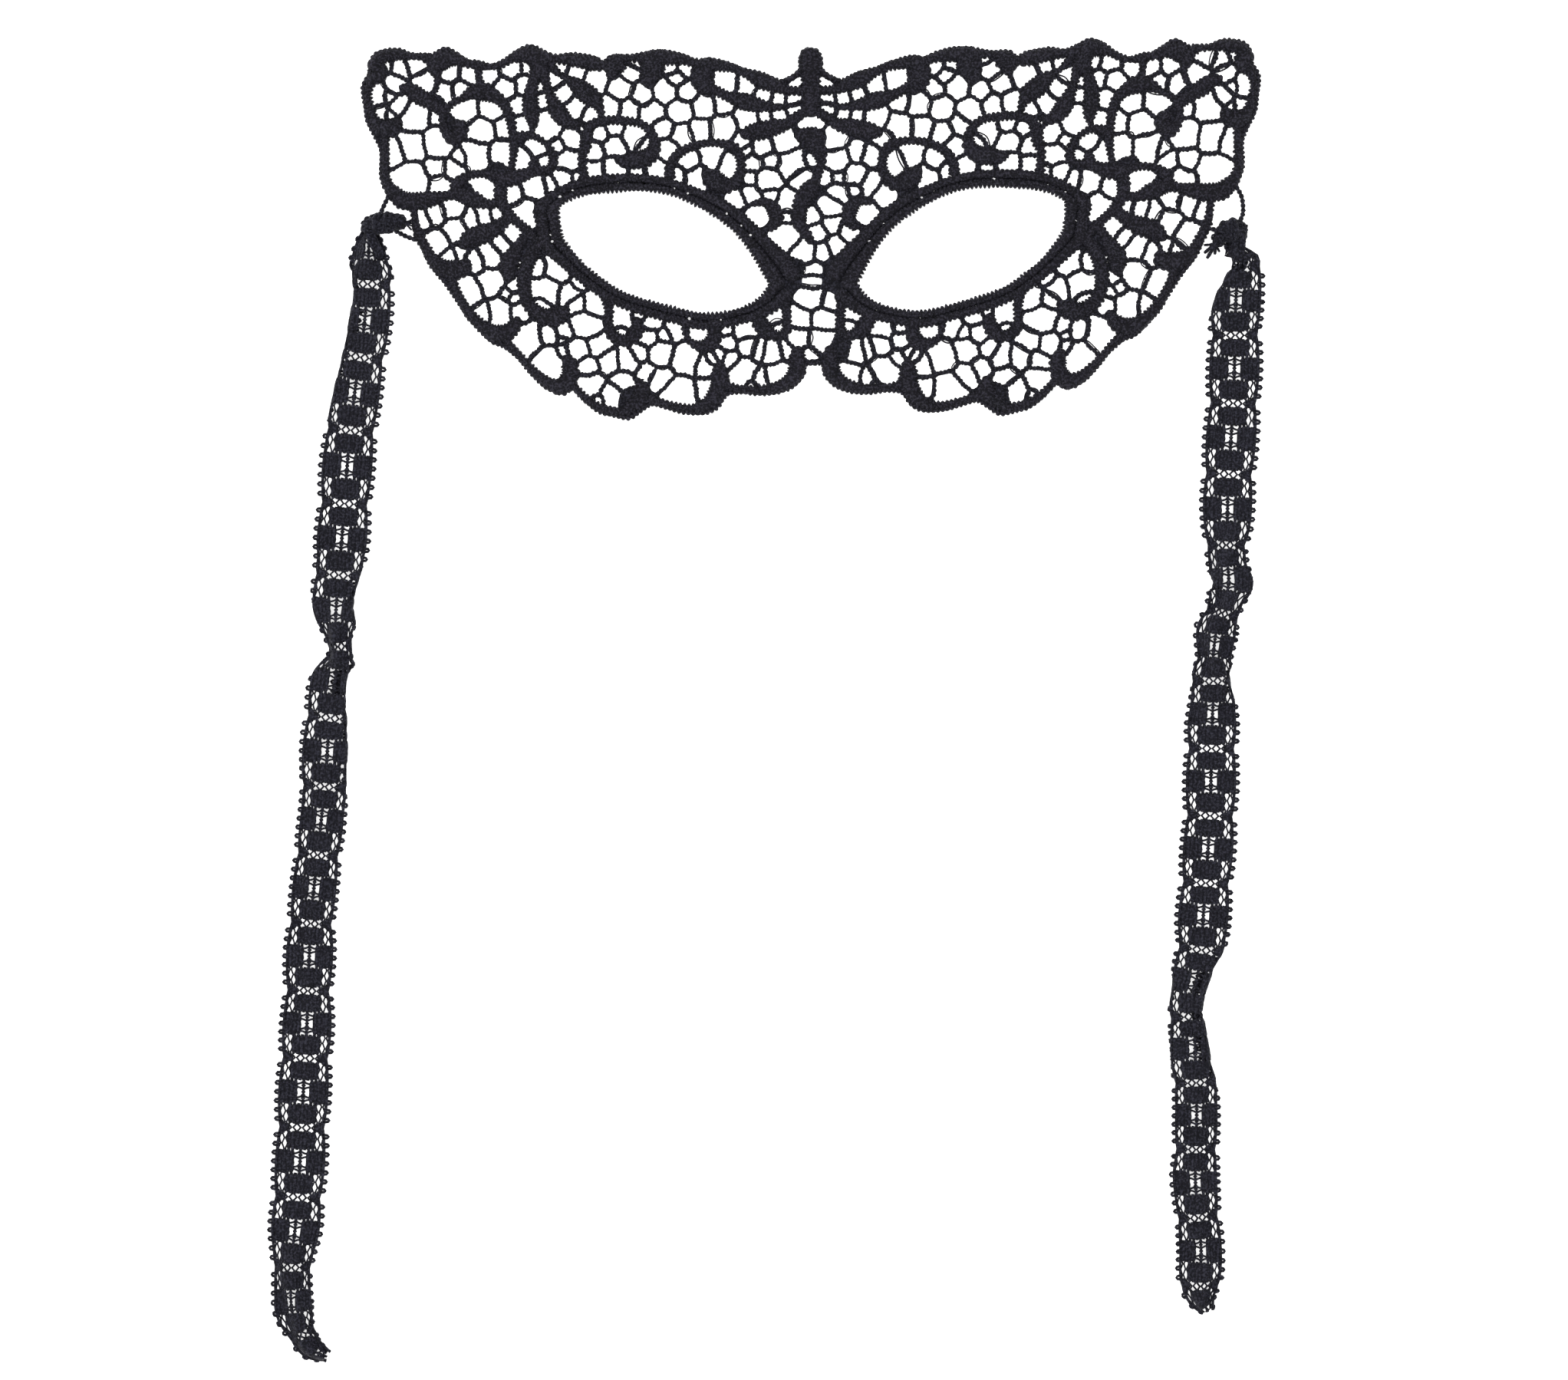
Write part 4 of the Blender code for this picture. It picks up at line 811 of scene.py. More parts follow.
@dataclass(frozen=True)
class RimShape:
    """The two rows of an eye's rim and the needle holes between them.

    Attributes:
        eye: A place inside the eye, in the charts' percent.
        inner: Shift and half width of the row on the eye's side, as shares of the rim's half width.
        outer: The same of the other row.
        seam: Shift of the line between them, as such a share.
        inner_teeth: Strength of the inner row's teeth towards the eye and away from it.
        outer_teeth: The same of the outer row.
        hole_pitch: Distance between the needle holes.
        hole_play: How far a hole lies off its place.
        hole_ends: Stretches without holes at the rim's start and end.
        hole_radius: Radius of a hole.
        hole_spread: Range of its size, as shares of that radius.
    """

    eye: tuple[float, float] = (34, 44)
    inner: tuple[float, float] = (0.53, 0.47)
    outer: tuple[float, float] = (0.48, 0.52)
    seam: float = 0.05
    inner_teeth: tuple[float, float] = (1.0, 0.45)
    outer_teeth: tuple[float, float] = (0.45, 0.9)
    hole_pitch: float = 0.0038
    hole_play: float = 0.0011
    hole_ends: tuple[float, float] = (0.006, 0.010)
    hole_radius: float = 0.00033
    hole_spread: tuple[float, float] = (0.75, 1.25)


@dataclass
class LacePanel:
    """The lace panel: ground, twisted net threads, raised satin cords and temple loops."""

    dye: Dye
    sizes: PanelSizes = field(default_factory=PanelSizes)
    rules: NetRules = field(default_factory=NetRules)
    play: ThreadPlay = field(default_factory=ThreadPlay)
    stitch: StitchShape = field(default_factory=StitchShape)
    rim: RimShape = field(default_factory=RimShape)
    cord_step: float = 0.00016
    stroke_every: int = 6
    thinnest: float = 0.1
    rope_step: float = 0.00036
    ring_step: float = 0.0011
    outer_inset: float = 0.00055
    eye_inset: float = 0.00060
    border_outset: float = 0.00026
    border_half: float = 0.00068
    loop_pitch: float = 1.2

    def __post_init__(self) -> None:
        """Works out the cords, the edges and the net's cells from the charts."""
        self.rng = np.random.default_rng(SEED)
        self.cords = self._cords(self.cord_step)
        self.strokes = np.vstack([path[::self.stroke_every] for _, _, path in self.cords])
        spot = self.sizes.spot
        left = [spot(across, up, -1) for across, up in OUTLINE]
        right = [spot(across, up, 1) for across, up in OUTLINE[1:-1]][::-1]
        self.outer = self._inset(spline(left + right, self.ring_step, closed=True), self.outer_inset)
        self.eyes = []
        for side in (-1, 1):
            ring = [spot(across, up, side) for across, up in EYE][::-side]
            self.eyes.append(self._inset(spline(ring, self.ring_step, closed=True), self.eye_inset))
        rows = [(*spot(a, u, side), r * MM) for a, u, r in SIDE_CELLS for side in (-1, 1)]
        rows += [(*spot(a, u, -1), r * MM) for a, u, r in CENTRE_CELLS]
        self.cells = np.array(rows)
        self.holes = np.empty((0, 3))
        self.wobble = self.rng.uniform(*self.stitch.wobble, self.stitch.wobbles)

    @staticmethod
    def _inset(ring: np.ndarray, amount: float) -> np.ndarray:
        """A closed ring moved to its left by an amount."""
        ahead = unit(np.roll(ring, -1, axis=0) - np.roll(ring, 1, axis=0))
        return ring + amount * np.column_stack((-ahead[:, 1], ahead[:, 0]))

    def _cords(self, step: float) -> list[tuple[str, CordKind, np.ndarray]]:
        """Every raised cord: name, kind, and rows of x, y and half width.

        Args:
            step: Distance between the rows, about.
        """
        listed = [(f"{name}_{word}", kind, widths, route, side)
                  for name, kind, widths, route in SIDE_CORDS
                  for word, side in (("left", -1), ("right", 1))]
        listed += [(name, kind, widths, route, -1) for name, kind, widths, route in CENTRE_CORDS]
        found = []
        for name, kind, widths, route, side in listed:
            rows = [(*self.sizes.spot(across, up, side), width * self.sizes.cord / 2)
                    for (across, up), width in zip(route, widths)]
            path = spline(rows, step)
            path[:, 2] = np.maximum(path[:, 2], self.thinnest * self.sizes.cord)
            found.append((name, CordKind[kind.upper()], path))
        return found

    def _walls(self, index: int, rays: int) -> tuple[np.ndarray, np.ndarray, np.ndarray, np.ndarray]:
        """How far a cell reaches along rays from its centre.

        Args:
            index: The cell's place in the list.
            rays: Number of rays.

        Returns:
            Unit rays, reach to the line shared with a neighbour, that neighbour, and reach to
            a cord or to the panel's edge.
        """
        cell, rules = self.cells[index], self.rules
        turn = np.arange(rays) * 2 * math.pi / rays
        ray = np.column_stack((np.cos(turn), np.sin(turn)))
        offset = self.cells[:, :2] - cell[:2]
        apart = np.hypot(*offset.T)
        own, others, spare = rules.near
        near = np.flatnonzero((apart > 0) & (apart < cell[2] * own + self.cells[:, 2] * others + spare))
        gain = self.cells[near, 2] - cell[2]
        closing = gain[None, :] + ray @ offset[near].T
        meets = (apart[near] ** 2 - gain ** 2)[None, :] / (2 * np.maximum(closing, 1e-6))
        line = np.where(closing > 1e-6, meets, rules.far)
        best = line.argmin(axis=1)
        shared = line[np.arange(rays), best]

        steps = np.linspace(rules.ray_start, rules.reach + rules.ray_over, rules.ray_steps) * cell[2]
        spots = (cell[:2] + ray[:, None, :] * steps[None, :, None]).reshape(-1, 2)
        blocked = np.zeros(len(spots), dtype=bool)
        walls = [self.strokes]
        for ring in (self.outer, *self.eyes):
            walls.append(np.column_stack((ring, np.full(len(ring), self.sizes.bar * rules.edge_wall))))
        for rows in walls:
            close = rows[np.hypot(*(rows[:, :2] - cell[:2]).T) < steps[-1] + rows[:, 2] + rules.band]
            if len(close):
                away = np.hypot(spots[:, :1] - close[:, 0], spots[:, 1:] - close[:, 1]) - close[:, 2]
                blocked |= away.min(axis=1) < -rules.tuck
        blocked = blocked.reshape(rays, -1)
        wall = np.where(blocked.any(axis=1), steps[blocked.argmax(axis=1)], rules.far)
        return ray, shared, near[best], wall

    def _gap(self, index: int) -> np.ndarray | None:
        """The rounded outline of one gap in the ground, or nothing where cords cover it."""
        cell, rules = self.cells[index], self.rules
        ray, shared, _, wall = self._walls(index, rules.gap_rays)
        reach = np.minimum(np.minimum(shared - self.sizes.bar * rules.gap_wall, wall), rules.reach * cell[2])
        if (reach < rules.short * cell[2]).mean() > rules.covered:
            return None
        reach = np.maximum(reach, rules.least * cell[2])
        soft = (np.roll(reach, 1) + 2 * reach + np.roll(reach, -1)) / 4
        reach = np.minimum(reach, soft)
        return cell[:2] + ray * reach[:, None]

    def _bars(self) -> list[np.ndarray]:
        """Centre lines of the net threads, one along each line that two cells share."""
        bars, rules = [], self.rules
        for index, cell in enumerate(self.cells):
            ray, shared, other, wall = self._walls(index, rules.bar_rays)
            spots = cell[:2] + ray * shared[:, None]
            good = (shared < rules.bar_reach * cell[2]) & (shared < wall + rules.bar_tuck)
            good &= inside(spots, self.outer)
            for eye in self.eyes:
                good &= ~inside(spots, eye)
            radius = self.cells[other, 2]
            bigger = (radius < cell[2]) | ((radius == cell[2]) & (other > index))
            label = np.where(good & bigger, other, -1)
            start = int(np.flatnonzero(label != np.roll(label, 1))[0]) if (label != label[0]).any() else 0
            order = np.roll(np.arange(rules.bar_rays), -start)
            cuts = np.flatnonzero(np.diff(label[order])) + 1
            for run in np.split(order, cuts):
                if label[run[0]] < 0 or len(run) < 2:
                    continue
                line = spots[run]
                ends = unit(np.array((line[0] - line[1], line[-1] - line[-2]))) * rules.bar_lap
                line = np.vstack((line[0] + ends[0], line, line[-1] + ends[1]))
                if lengths(line)[-1] > rules.bar_least:
                    bars.append(line)
        return bars

    def ground(self) -> bpy.types.Object:
        """The thin ground of the net, cut through at every gap and needle hole."""
        rings = [self.outer, *self.eyes]
        rings += [gap for gap in map(self._gap, range(len(self.cells))) if gap is not None]
        turn = np.arange(8) * math.pi / 4
        rings += [hole[:2] + hole[2] * np.column_stack((np.cos(turn), np.sin(turn))) for hole in self.holes]
        curve = bpy.data.curves.new("net_ground", "CURVE")
        curve.dimensions = "2D"
        curve.fill_mode = "BOTH"
        curve.extrude = self.sizes.ground / 2
        for ring in rings:
            line = curve.splines.new("POLY")
            line.points.add(len(ring) - 1)
            rows = np.column_stack((ring, np.zeros(len(ring)), np.ones(len(ring))))
            line.points.foreach_set("co", rows.ravel())
            line.use_cyclic_u = True
        piece = bpy.data.objects.new("net_ground", curve)
        bpy.context.scene.collection.objects.link(piece)
        piece.location.z = self.sizes.ground_low + self.sizes.ground / 2
        select_only(piece)
        bpy.ops.object.convert(target="MESH")
        bpy.ops.object.transform_apply(location=True, rotation=False, scale=False)
        weld(piece)
        add_flat_uv(piece)
        piece.data.materials.append(self.dye.thread(NET_THREAD))
        LOG.info("net_ground: %d gaps, %d faces", len(rings) - 3, len(piece.data.polygons))
        return piece

    def net(self) -> list[bpy.types.Object]:
        """The twisted net threads, one piece for each half of the panel."""
        pieces, play = [], self.play
        bars = self._bars()
        finish = self.dye.thread(NET_THREAD)
        for word, side in (("left", -1), ("right", 1)):
            mesh = ThreadMesh()
            for line in bars:
                if side * line[:, 0].mean() <= 0:
                    continue
                path = spline(line, self.rope_step)
                share = np.linspace(0, math.pi, len(path))
                waves = max(1, round(lengths(line)[-1] / play.wave_length))
                bow = self.rng.normal(0, play.bow) * np.sin(share)
                wave = self.rng.uniform(*play.wave) * MM * np.sin(share * waves)
                bow = bow + wave * self.rng.choice((-1, 1))
                ahead = unit(np.gradient(path, axis=0))
                path = path + bow[:, None] * np.column_stack((-ahead[:, 1], ahead[:, 0]))
                rise = self.sizes.bar_height + self.rng.uniform(*play.rise)
                path = np.column_stack((path, np.full(len(path), rise)))
                radius = self.sizes.bar / 2 * self.rng.uniform(*play.thick)
                pitch = self.sizes.ply_pitch * self.rng.uniform(*play.pitch)
                mesh.rope(path, radius, pitch, phase=self.rng.uniform(0, 2 * math.pi))
                self._knob(mesh, path[0])
                self._knob(mesh, path[-1])
            pieces.append(mesh.to_object(f"net_threads_{word}", finish))
        return pieces

    def _knob(self, mesh: ThreadMesh, spot: np.ndarray) -> None:
        """Heaps a little thread where bars of the net meet.

        Args:
            mesh: The mesh that it joins.
            spot: Where the bar ends.
        """
        turn = self.rng.uniform(0, 2 * math.pi)
        way = np.array((math.cos(turn), math.sin(turn), 0.0))
        reach = self.rng.uniform(*self.play.knob_reach) * MM
        path = spot + reach * np.array((-1.0, -0.5, 0.5, 1.0))[:, None] * way
        size = self.sizes.bar * self.rng.uniform(*self.play.knob_size)
        mesh.tube(path, size * np.array((0.45, 1.0, 1.0, 0.45)), sides=6, flat=0.8)

    def _satin(self, mesh: ThreadMesh, path: np.ndarray, finish: CordFinish, teeth: tuple[float, float],
               sides: int = 14) -> None:
        """Sweeps one satin-stitched cord: ridges run across it and end in teeth at its edges.

        Args:
            mesh: The mesh that it joins.
            path: Rows of x, y and half width.
            finish: Its height, teeth and ridges.
            teeth: How strong the teeth are on its left and on its right.
            sides: Corners of its section.
        """
        stitch = self.stitch
        path = round_ends(path, self.cord_step)
        along = lengths(path[:, :2]) + self.rng.uniform(0, finish.pitch)
        ahead = unit(np.gradient(path[:, :2], axis=0))
        left = np.column_stack((-ahead[:, 1], ahead[:, 0]))
        half = path[:, 2:3]
        turn = np.arange(sides) * 2 * math.pi / sides
        over, rise = np.cos(turn)[None, :], np.sin(turn)[None, :]
        lateral = over * half
        count = (along[:, None] + finish.slant * lateral) / finish.pitch
        number = np.floor(count).astype(int)
        start = self.rng.integers(*stitch.starts)
        size = self.wobble[(number + start) % stitch.wobbles]
        ridge = np.abs(np.sin(count * math.pi)) ** stitch.ridge_curve
        tooth = np.abs(np.sin(count * math.pi)) ** stitch.tooth_curve
        strength = np.where(over > 0, teeth[0], teeth[1])
        taper = np.clip(half / stitch.full_half, stitch.least_taper, 1.0)
        reach = np.sign(over) * np.abs(over) ** 2 * strength * taper * finish.tooth
        lateral = lateral + reach * size * (tooth - stitch.tooth_level)
        low = self.sizes.ground_low - stitch.sink
        full = np.clip(stitch.crown_base + half / stitch.crown_half, stitch.crown_least, 1.0)
        crown = (finish.top - low) * full
        dome = np.where(rise > 0, np.abs(rise) ** finish.crown, -stitch.belly * np.abs(rise))
        relief = finish.ridge * size * (ridge - stitch.ridge_level) * (rise > stitch.relief_from) * taper
        rings = np.empty((len(path), sides, 3))
        rings[..., :2] = path[:, None, :2] + lateral[..., None] * left[:, None, :]
        rings[..., 2] = low + stitch.sink + crown * dome + relief
        for x, y, radius in self.holes:
            near = np.hypot(path[:, 0] - x, path[:, 1] - y) < stitch.hole_reach
            if near.any():
                block = rings[near]
                away = block[..., :2] - (x, y)
                far = np.linalg.norm(away, axis=-1, keepdims=True)
                moved = (x, y) + away / np.maximum(far, 1e-6) * radius * stitch.hole_rim
                block[..., :2] = np.where(far < radius * stitch.hole_rim, moved, block[..., :2])
                rings[near] = block
        mesh.rings(rings)

    def _rows_of_rim(self, path: np.ndarray) -> tuple[np.ndarray, np.ndarray, np.ndarray, int]:
        """Splits a rim into its toothed inner row and its outer row.

        Args:
            path: Rows of x, y and half width of the whole rim.

        Returns:
            The inner row, the outer row, the line between them, and the side of the eye.
        """
        side = math.copysign(1, path[len(path) // 2, 0])
        eye = np.array(self.sizes.spot(*self.rim.eye, side))
        ahead = unit(np.gradient(path[:, :2], axis=0))
        left = np.column_stack((-ahead[:, 1], ahead[:, 0]))
        middle = len(path) // 2
        towards = 1 if float((eye - path[middle, :2]) @ left[middle]) > 0 else -1
        half = path[:, 2:3]
        shift, share = self.rim.inner
        inner = np.column_stack((path[:, :2] + towards * shift * half * left, share * half))
        shift, share = self.rim.outer
        outer = np.column_stack((path[:, :2] - towards * shift * half * left, share * half))
        seam = path[:, :2] + towards * self.rim.seam * half * left
        return inner, outer, seam, towards

    def plan_holes(self) -> None:
        """Places a needle hole every few millimetres between the two rows of each rim."""
        found, rim = [], self.rim
        for _, kind, path in self.cords:
            if kind is CordKind.RIM:
                _, _, seam, _ = self._rows_of_rim(path)
                along = lengths(seam)
                spots = np.arange(rim.hole_ends[0], along[-1] - rim.hole_ends[1], rim.hole_pitch)
                spots = spots + self.rng.uniform(-rim.hole_play, rim.hole_play, len(spots))
                for spot in spots:
                    found.append((*(np.interp(spot, along, column) for column in seam.T),
                                  rim.hole_radius * self.rng.uniform(*rim.hole_spread)))
        self.holes = np.array(found)

    def raised_cords(self) -> list[bpy.types.Object]:
        """The raised cords, one piece for each kind."""
        finish = self.dye.thread(SATIN_CORD)
        pieces = []
        for kind in (CordKind.RIM, CordKind.EDGE, CordKind.SCROLL, CordKind.LEAF):
            mesh = ThreadMesh()
            for _, own, path in self.cords:
                if own is not kind:
                    continue
                if kind is CordKind.RIM:
                    inner, outer, _, towards = self._rows_of_rim(path)
                    self._satin(mesh, inner, kind.value, self.rim.inner_teeth[::towards])
                    self._satin(mesh, outer, CordKind.BRAID.value, self.rim.outer_teeth[::towards])
                else:
                    self._satin(mesh, path, kind.value, (1.0, 1.0))
            pieces.append(mesh.to_object(f"{kind.name.lower()}_cords", finish))
        return pieces

    def border(self) -> bpy.types.Object:
        """The toothed cord that runs round the whole panel at its edge."""
        mesh = ThreadMesh()
        ring = self._inset(self.outer, -self.border_outset)
        path = spline(np.vstack((ring, ring[:3])), self.cord_step)
        path = np.column_stack((path, np.full(len(path), self.border_half)))
        self._satin(mesh, path, CordKind.BORDER.value, (1.0, 1.0), sides=10)
        return mesh.to_object("border_cord", self.dye.thread(SATIN_CORD))

    def loops(self) -> bpy.types.Object:
        """The twisted thread loops at the temples that the knots hold."""
        mesh = ThreadMesh()
        for chart, side in ((LEFT_LOOP, -1), (RIGHT_LOOP, 1)):
            rows = [(*self.sizes.spot(across, up, side), height * self.sizes.knot)
                    for across, up, height in chart]
            pitch = self.sizes.ply_pitch * self.loop_pitch
            mesh.rope(spline(rows, self.rope_step), self.sizes.thread / 2, pitch, flat=1.0)
        return mesh.to_object("loop_threads", self.dye.thread(NET_THREAD))

    def strays(self) -> bpy.types.Object:
        """Single threads that stand off from the bars and run back into them."""
        mesh, play = ThreadMesh(), self.play
        for line in self._bars():
            if self.rng.uniform() > play.stray_share:
                continue
            path = spline(line, play.stray_step)
            way = np.linspace(0, math.pi, len(path))
            bow = self.rng.uniform(*play.stray_bow) * MM * np.sin(way) ** 0.6 * self.rng.choice((-1, 1))
            bow = bow + self.rng.uniform(*play.stray_wave) * MM * np.sin(way * 3)
            ahead = unit(np.gradient(path, axis=0))
            path = path + bow[:, None] * np.column_stack((-ahead[:, 1], ahead[:, 0]))
            height = self.sizes.bar_height + self.rng.uniform(*play.stray_rise)
            path = np.column_stack((path, np.full(len(path), height)))
            mesh.tube(path, self.rng.uniform(*play.stray_radius), sides=4)
        return mesh.to_object("stray_threads", self.dye.thread(NET_THREAD))

    def build(self) -> None:
        """Builds the panel and rides it on the root body."""
        self.plan_holes()
        ground = self.ground()
        others = [*self.net(), *self.raised_cords(), self.border(), self.loops(), self.strays()]
        for piece in (ground, *others):
            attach(piece, "root")
        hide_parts("lace_panel")


def select_only(piece: bpy.types.Object) -> None:
    """Selects one object and makes it active."""
    bpy.ops.object.select_all(action="DESELECT")
    piece.select_set(True)
    bpy.context.view_layer.objects.active = piece


def weld(piece: bpy.types.Object) -> None:
    """Merges a mesh's doubles and turns its faces outwards."""
    select_only(piece)
    bpy.ops.object.mode_set(mode="EDIT")
    bpy.ops.mesh.select_all(action="SELECT")
    bpy.ops.mesh.remove_doubles(threshold=0.000001)
    bpy.ops.mesh.normals_make_consistent(inside=False)
    bpy.ops.object.mode_set(mode="OBJECT")


def add_flat_uv(piece: bpy.types.Object) -> None:
    """Gives a flat piece the thread UV map, laid on it from above."""
    mesh = piece.data
    layer = mesh.uv_layers.get(THREAD_MAP) or mesh.uv_layers.new(name=THREAD_MAP)
    points = np.empty(len(mesh.vertices) * 3, dtype=np.float32)
    mesh.vertices.foreach_get("co", points)
    corner = np.empty(len(mesh.loops), dtype=np.int32)
    mesh.loops.foreach_get("vertex_index", corner)
    layer.uv.foreach_set("vector", points.reshape(-1, 3)[corner, :2].ravel())


def round_ends(path: np.ndarray, step: float) -> np.ndarray:
    """Runs a cord's path on a little at both ends and rounds its width off there.

    Args:
        path: Rows of x, y and half width.
        step: Distance between the rows, about.

    Returns:
        The longer path.
    """
    for _ in range(2):
        end, before = path[-1], path[-3]
        way = unit((end[:2] - before[:2])[None, :])[0]
        extra = END_RUN * end[2]
        more = np.arange(1, max(2, round(extra / step)) + 1) * step
        tail = np.column_stack((end[:2] + more[:, None] * way, np.full(len(more), end[2])))
        path = np.vstack((path, tail))
        left = lengths(path[::-1, :2])[::-1]
        share = np.clip(left / (END_ROUND * end[2]), 0, 1)
        path[:, 2] *= np.sqrt(np.maximum(1 - (1 - share) ** 2, END_LEAST))
        path = path[::-1]
    return path


# Ties: down and sideways as shares of the drop, width as a share of the cloth, roll in degrees,
# and the side that is rolled under, from -1 for the picture's left to 1 for its right
LEFT_TIE_PATH = (
    (-.008, .0022, .20, 0, 0), (0, .0012, .36, 0, 0), (.009, .0006, .54, 0, 0),
    (.023, .0004, .72, 0, -.3), (.040, -.0006, .76, 3, -.7), (.058, -.0018, .76, 6, -1),
    (.097, -.0062, .82, 6, -1), (.135, -.0125, .88, 3, -1), (.175, -.0178, .96, 0, -1),
    (.202, -.0210, 1, 0, 0), (.240, -.0242, 1, 0, 0), (.275, -.0272, 1, 0, 0),
    (.305, -.0297, .86, 4, .8), (.333, -.0320, .74, 14, .6), (.356, -.0312, .62, 30, .3),
    (.371, -.0296, .56, 40, .2), (.389, -.0322, .62, 28, .6), (.407, -.0352, .70, 14, 1),
    (.445, -.0402, .84, 4, 1), (.483, -.0432, .84, 0, .6), (.520, -.0474, .86, 0, .3),
    (.566, -.0530, .88, 0, .3), (.609, -.0578, .88, 0, .3), (.641, -.0598, .94, 0, .3),
    (.675, -.0616, .92, 0, 0), (.707, -.0630, .98, 0, 0), (.763, -.0668, 1, 0, 0),
    (.825, -.0704, 1, 0, 0), (.880, -.0748, .98, 0, 0), (.907, -.0776, .84, 8, .3),
    (.926, -.0786, .78, 12, .3), (.945, -.0786, .74, 16, .3), (.957, -.0780, .70, 18, .35),
    (.970, -.0750, .62, 22, .35), (.983, -.0690, .60, 22, .2), (.993, -.0610, .50, 18, 0),
    (1, -.0470, .20, 0, 0),
)
RIGHT_TIE_PATH = (
    (-.010, -.0030, .24, 0, 0), (0, -.0020, .32, 0, 0), (.017, .0005, .48, 0, -.7),
    (.034, 0, .72, 0, -1), (.056, -.0015, .90, 0, -1), (.075, -.0020, .96, 0, -.5),
    (.091, -.0020, 1, 0, 0), (.150, -.0045, 1, 0, 0), (.221, -.0097, 1, 0, 0),
    (.264, -.0116, .94, 4, 0), (.286, -.0130, .80, 12, .2), (.319, -.0114, .72, 18, -.6),
    (.346, -.0176, .70, 20, .2), (.363, -.0232, .80, 12, .3), (.388, -.0260, .66, 30, .3),
    (.401, -.0266, .66, 22, .5), (.419, -.0266, .74, 10, .5), (.437, -.0272, .90, 0, .3),
    (.465, -.0282, 1, 0, 0), (.540, -.0308, 1, 0, 0), (.631, -.0380, 1, 0, 0),
    (.655, -.0396, .92, 4, .5), (.672, -.0420, .78, 14, .8), (.689, -.0456, .68, 26, .8),
    (.701, -.0490, .62, 34, .6), (.718, -.0496, .62, 26, .8), (.736, -.0478, .66, 14, .8),
    (.768, -.0474, .74, 8, .6), (.808, -.0466, .84, 0, .3), (.853, -.0476, .86, 0, 0),
    (.875, -.0486, .88, 0, 0), (.905, -.0466, .86, 0, 0), (.940, -.0440, .84, 0, 0),
    (.970, -.0450, .86, 0, 0), (.986, -.0440, .60, 0, 0), (1, -.0380, .22, 0, 0),
)

# Waists of the scalloped edge: share of the drop, and how many repeats lie above it
LEFT_WAISTS = ((-.008, -.82), (0, -.7), (.045, 0), (.240, 3), (.431, 6), (.614, 9), (.734, 11), (1.0, 15.5))
RIGHT_WAISTS = ((-.010, -.42), (0, -.27), (.023, 0), (.150, 2), (.283, 4), (.410, 6), (.599, 9),
                (.848, 13), (1.0, 15.4))

# How far down each tie reaches, in metres
LEFT_DROP = 0.2922
RIGHT_DROP = 0.2783

# Frayed fingers of each knot: turn in degrees, length and thickness in millimetres
LEFT_FRAY = ((-38, 2.4, .30), (-14, 3.0, .28), (6, 2.6, .30), (24, 3.2, .26), (44, 2.2, .28))
RIGHT_FRAY = ((-46, 3.0, .42), (-18, 3.8, .55), (8, 4.4, .60), (34, 2.8, .50), (58, 2.4, .40))

# Folded strip that runs out of each knot: places in millimetres
LEFT_STEM = ((-116.2, -34.2, 2.6), (-115.2, -36.2, 2.9), (-113.8, -39.4, 2.6), (-112.2, -42.6, 1.9))
RIGHT_STEM = ((111.2, -36.8, 2.7), (111.0, -39.5, 2.9), (110.7, -42.6, 2.5), (110.4, -46.0, 1.8))

# Where the rolled cloth winds round each knot, as shares of its length
LEFT_WRAPS = (0.42, 0.66)
RIGHT_WRAPS = (0.40, 0.62)


@dataclass(frozen=True)
class TieSizes:
    """Sizes of the lace tie.

    Attributes:
        width: Width of the flat cloth.
        roll_radius: Radius that an edge rolls under at.
        roll_share: How much of a chart's roll angle the cloth takes.
        roll_from: Bias of a chart from which an edge starts to roll; at twice it the roll is full.
        bend_least: Least flat half width.
        narrowest: Least width, as a share of the cloth.
        low: Height of the lowest threads.
        top_gap: How far under its knot the tie's chart begins.
        pucker: Height of the folds where the cloth is drawn in, before the limit.
        pucker_most: That limit.
        fold_turn: Turn of the folds from the middle to an edge, in radians.
        fold_drift: How far the folds drift along the tie, in radians.
        fold_rate: How often they drift, in radians for each drop.
        section_places: Places across at which the cloth's lowest point is looked for.
        past_edge: How far past the edge these places reach.
        smooth_rows: Rows over which its height is smoothed.
        picot: Reach of the loops at the edge.
        net_radius: Radius of the fine threads.
        edge_radius: Radius of the edge cords.
        picot_radius: Radius of the loops' thread.
        rib_radius: Radius of the ribs.
        rib_flat: Height of a rib as a share of its width.
    """

    width: float = 0.0136
    roll_radius: float = 0.00085
    roll_share: float = 0.55
    roll_from: float = 0.3
    bend_least: float = 0.0002
    narrowest: float = 0.18
    low: float = 0.00040
    top_gap: float = 0.0008
    pucker: float = 0.00130
    pucker_most: float = 0.00110
    fold_turn: float = 4.2
    fold_drift: float = 0.8
    fold_rate: float = 90.0
    section_places: int = 31
    past_edge: float = 0.0006
    smooth_rows: int = 17
    picot: float = 0.00135
    net_radius: float = 0.00026
    edge_radius: float = 0.00040
    picot_radius: float = 0.00036
    rib_radius: float = 0.00066
    rib_flat: float = 0.52


@dataclass(frozen=True)
class Strand:
    """One thread of the repeat."""

    along: np.ndarray
    across: np.ndarray
    radius: float | np.ndarray
    flat: float = 1.0
    rise: float = 0.0
    out: np.ndarray | None = None
    sides: int = 6


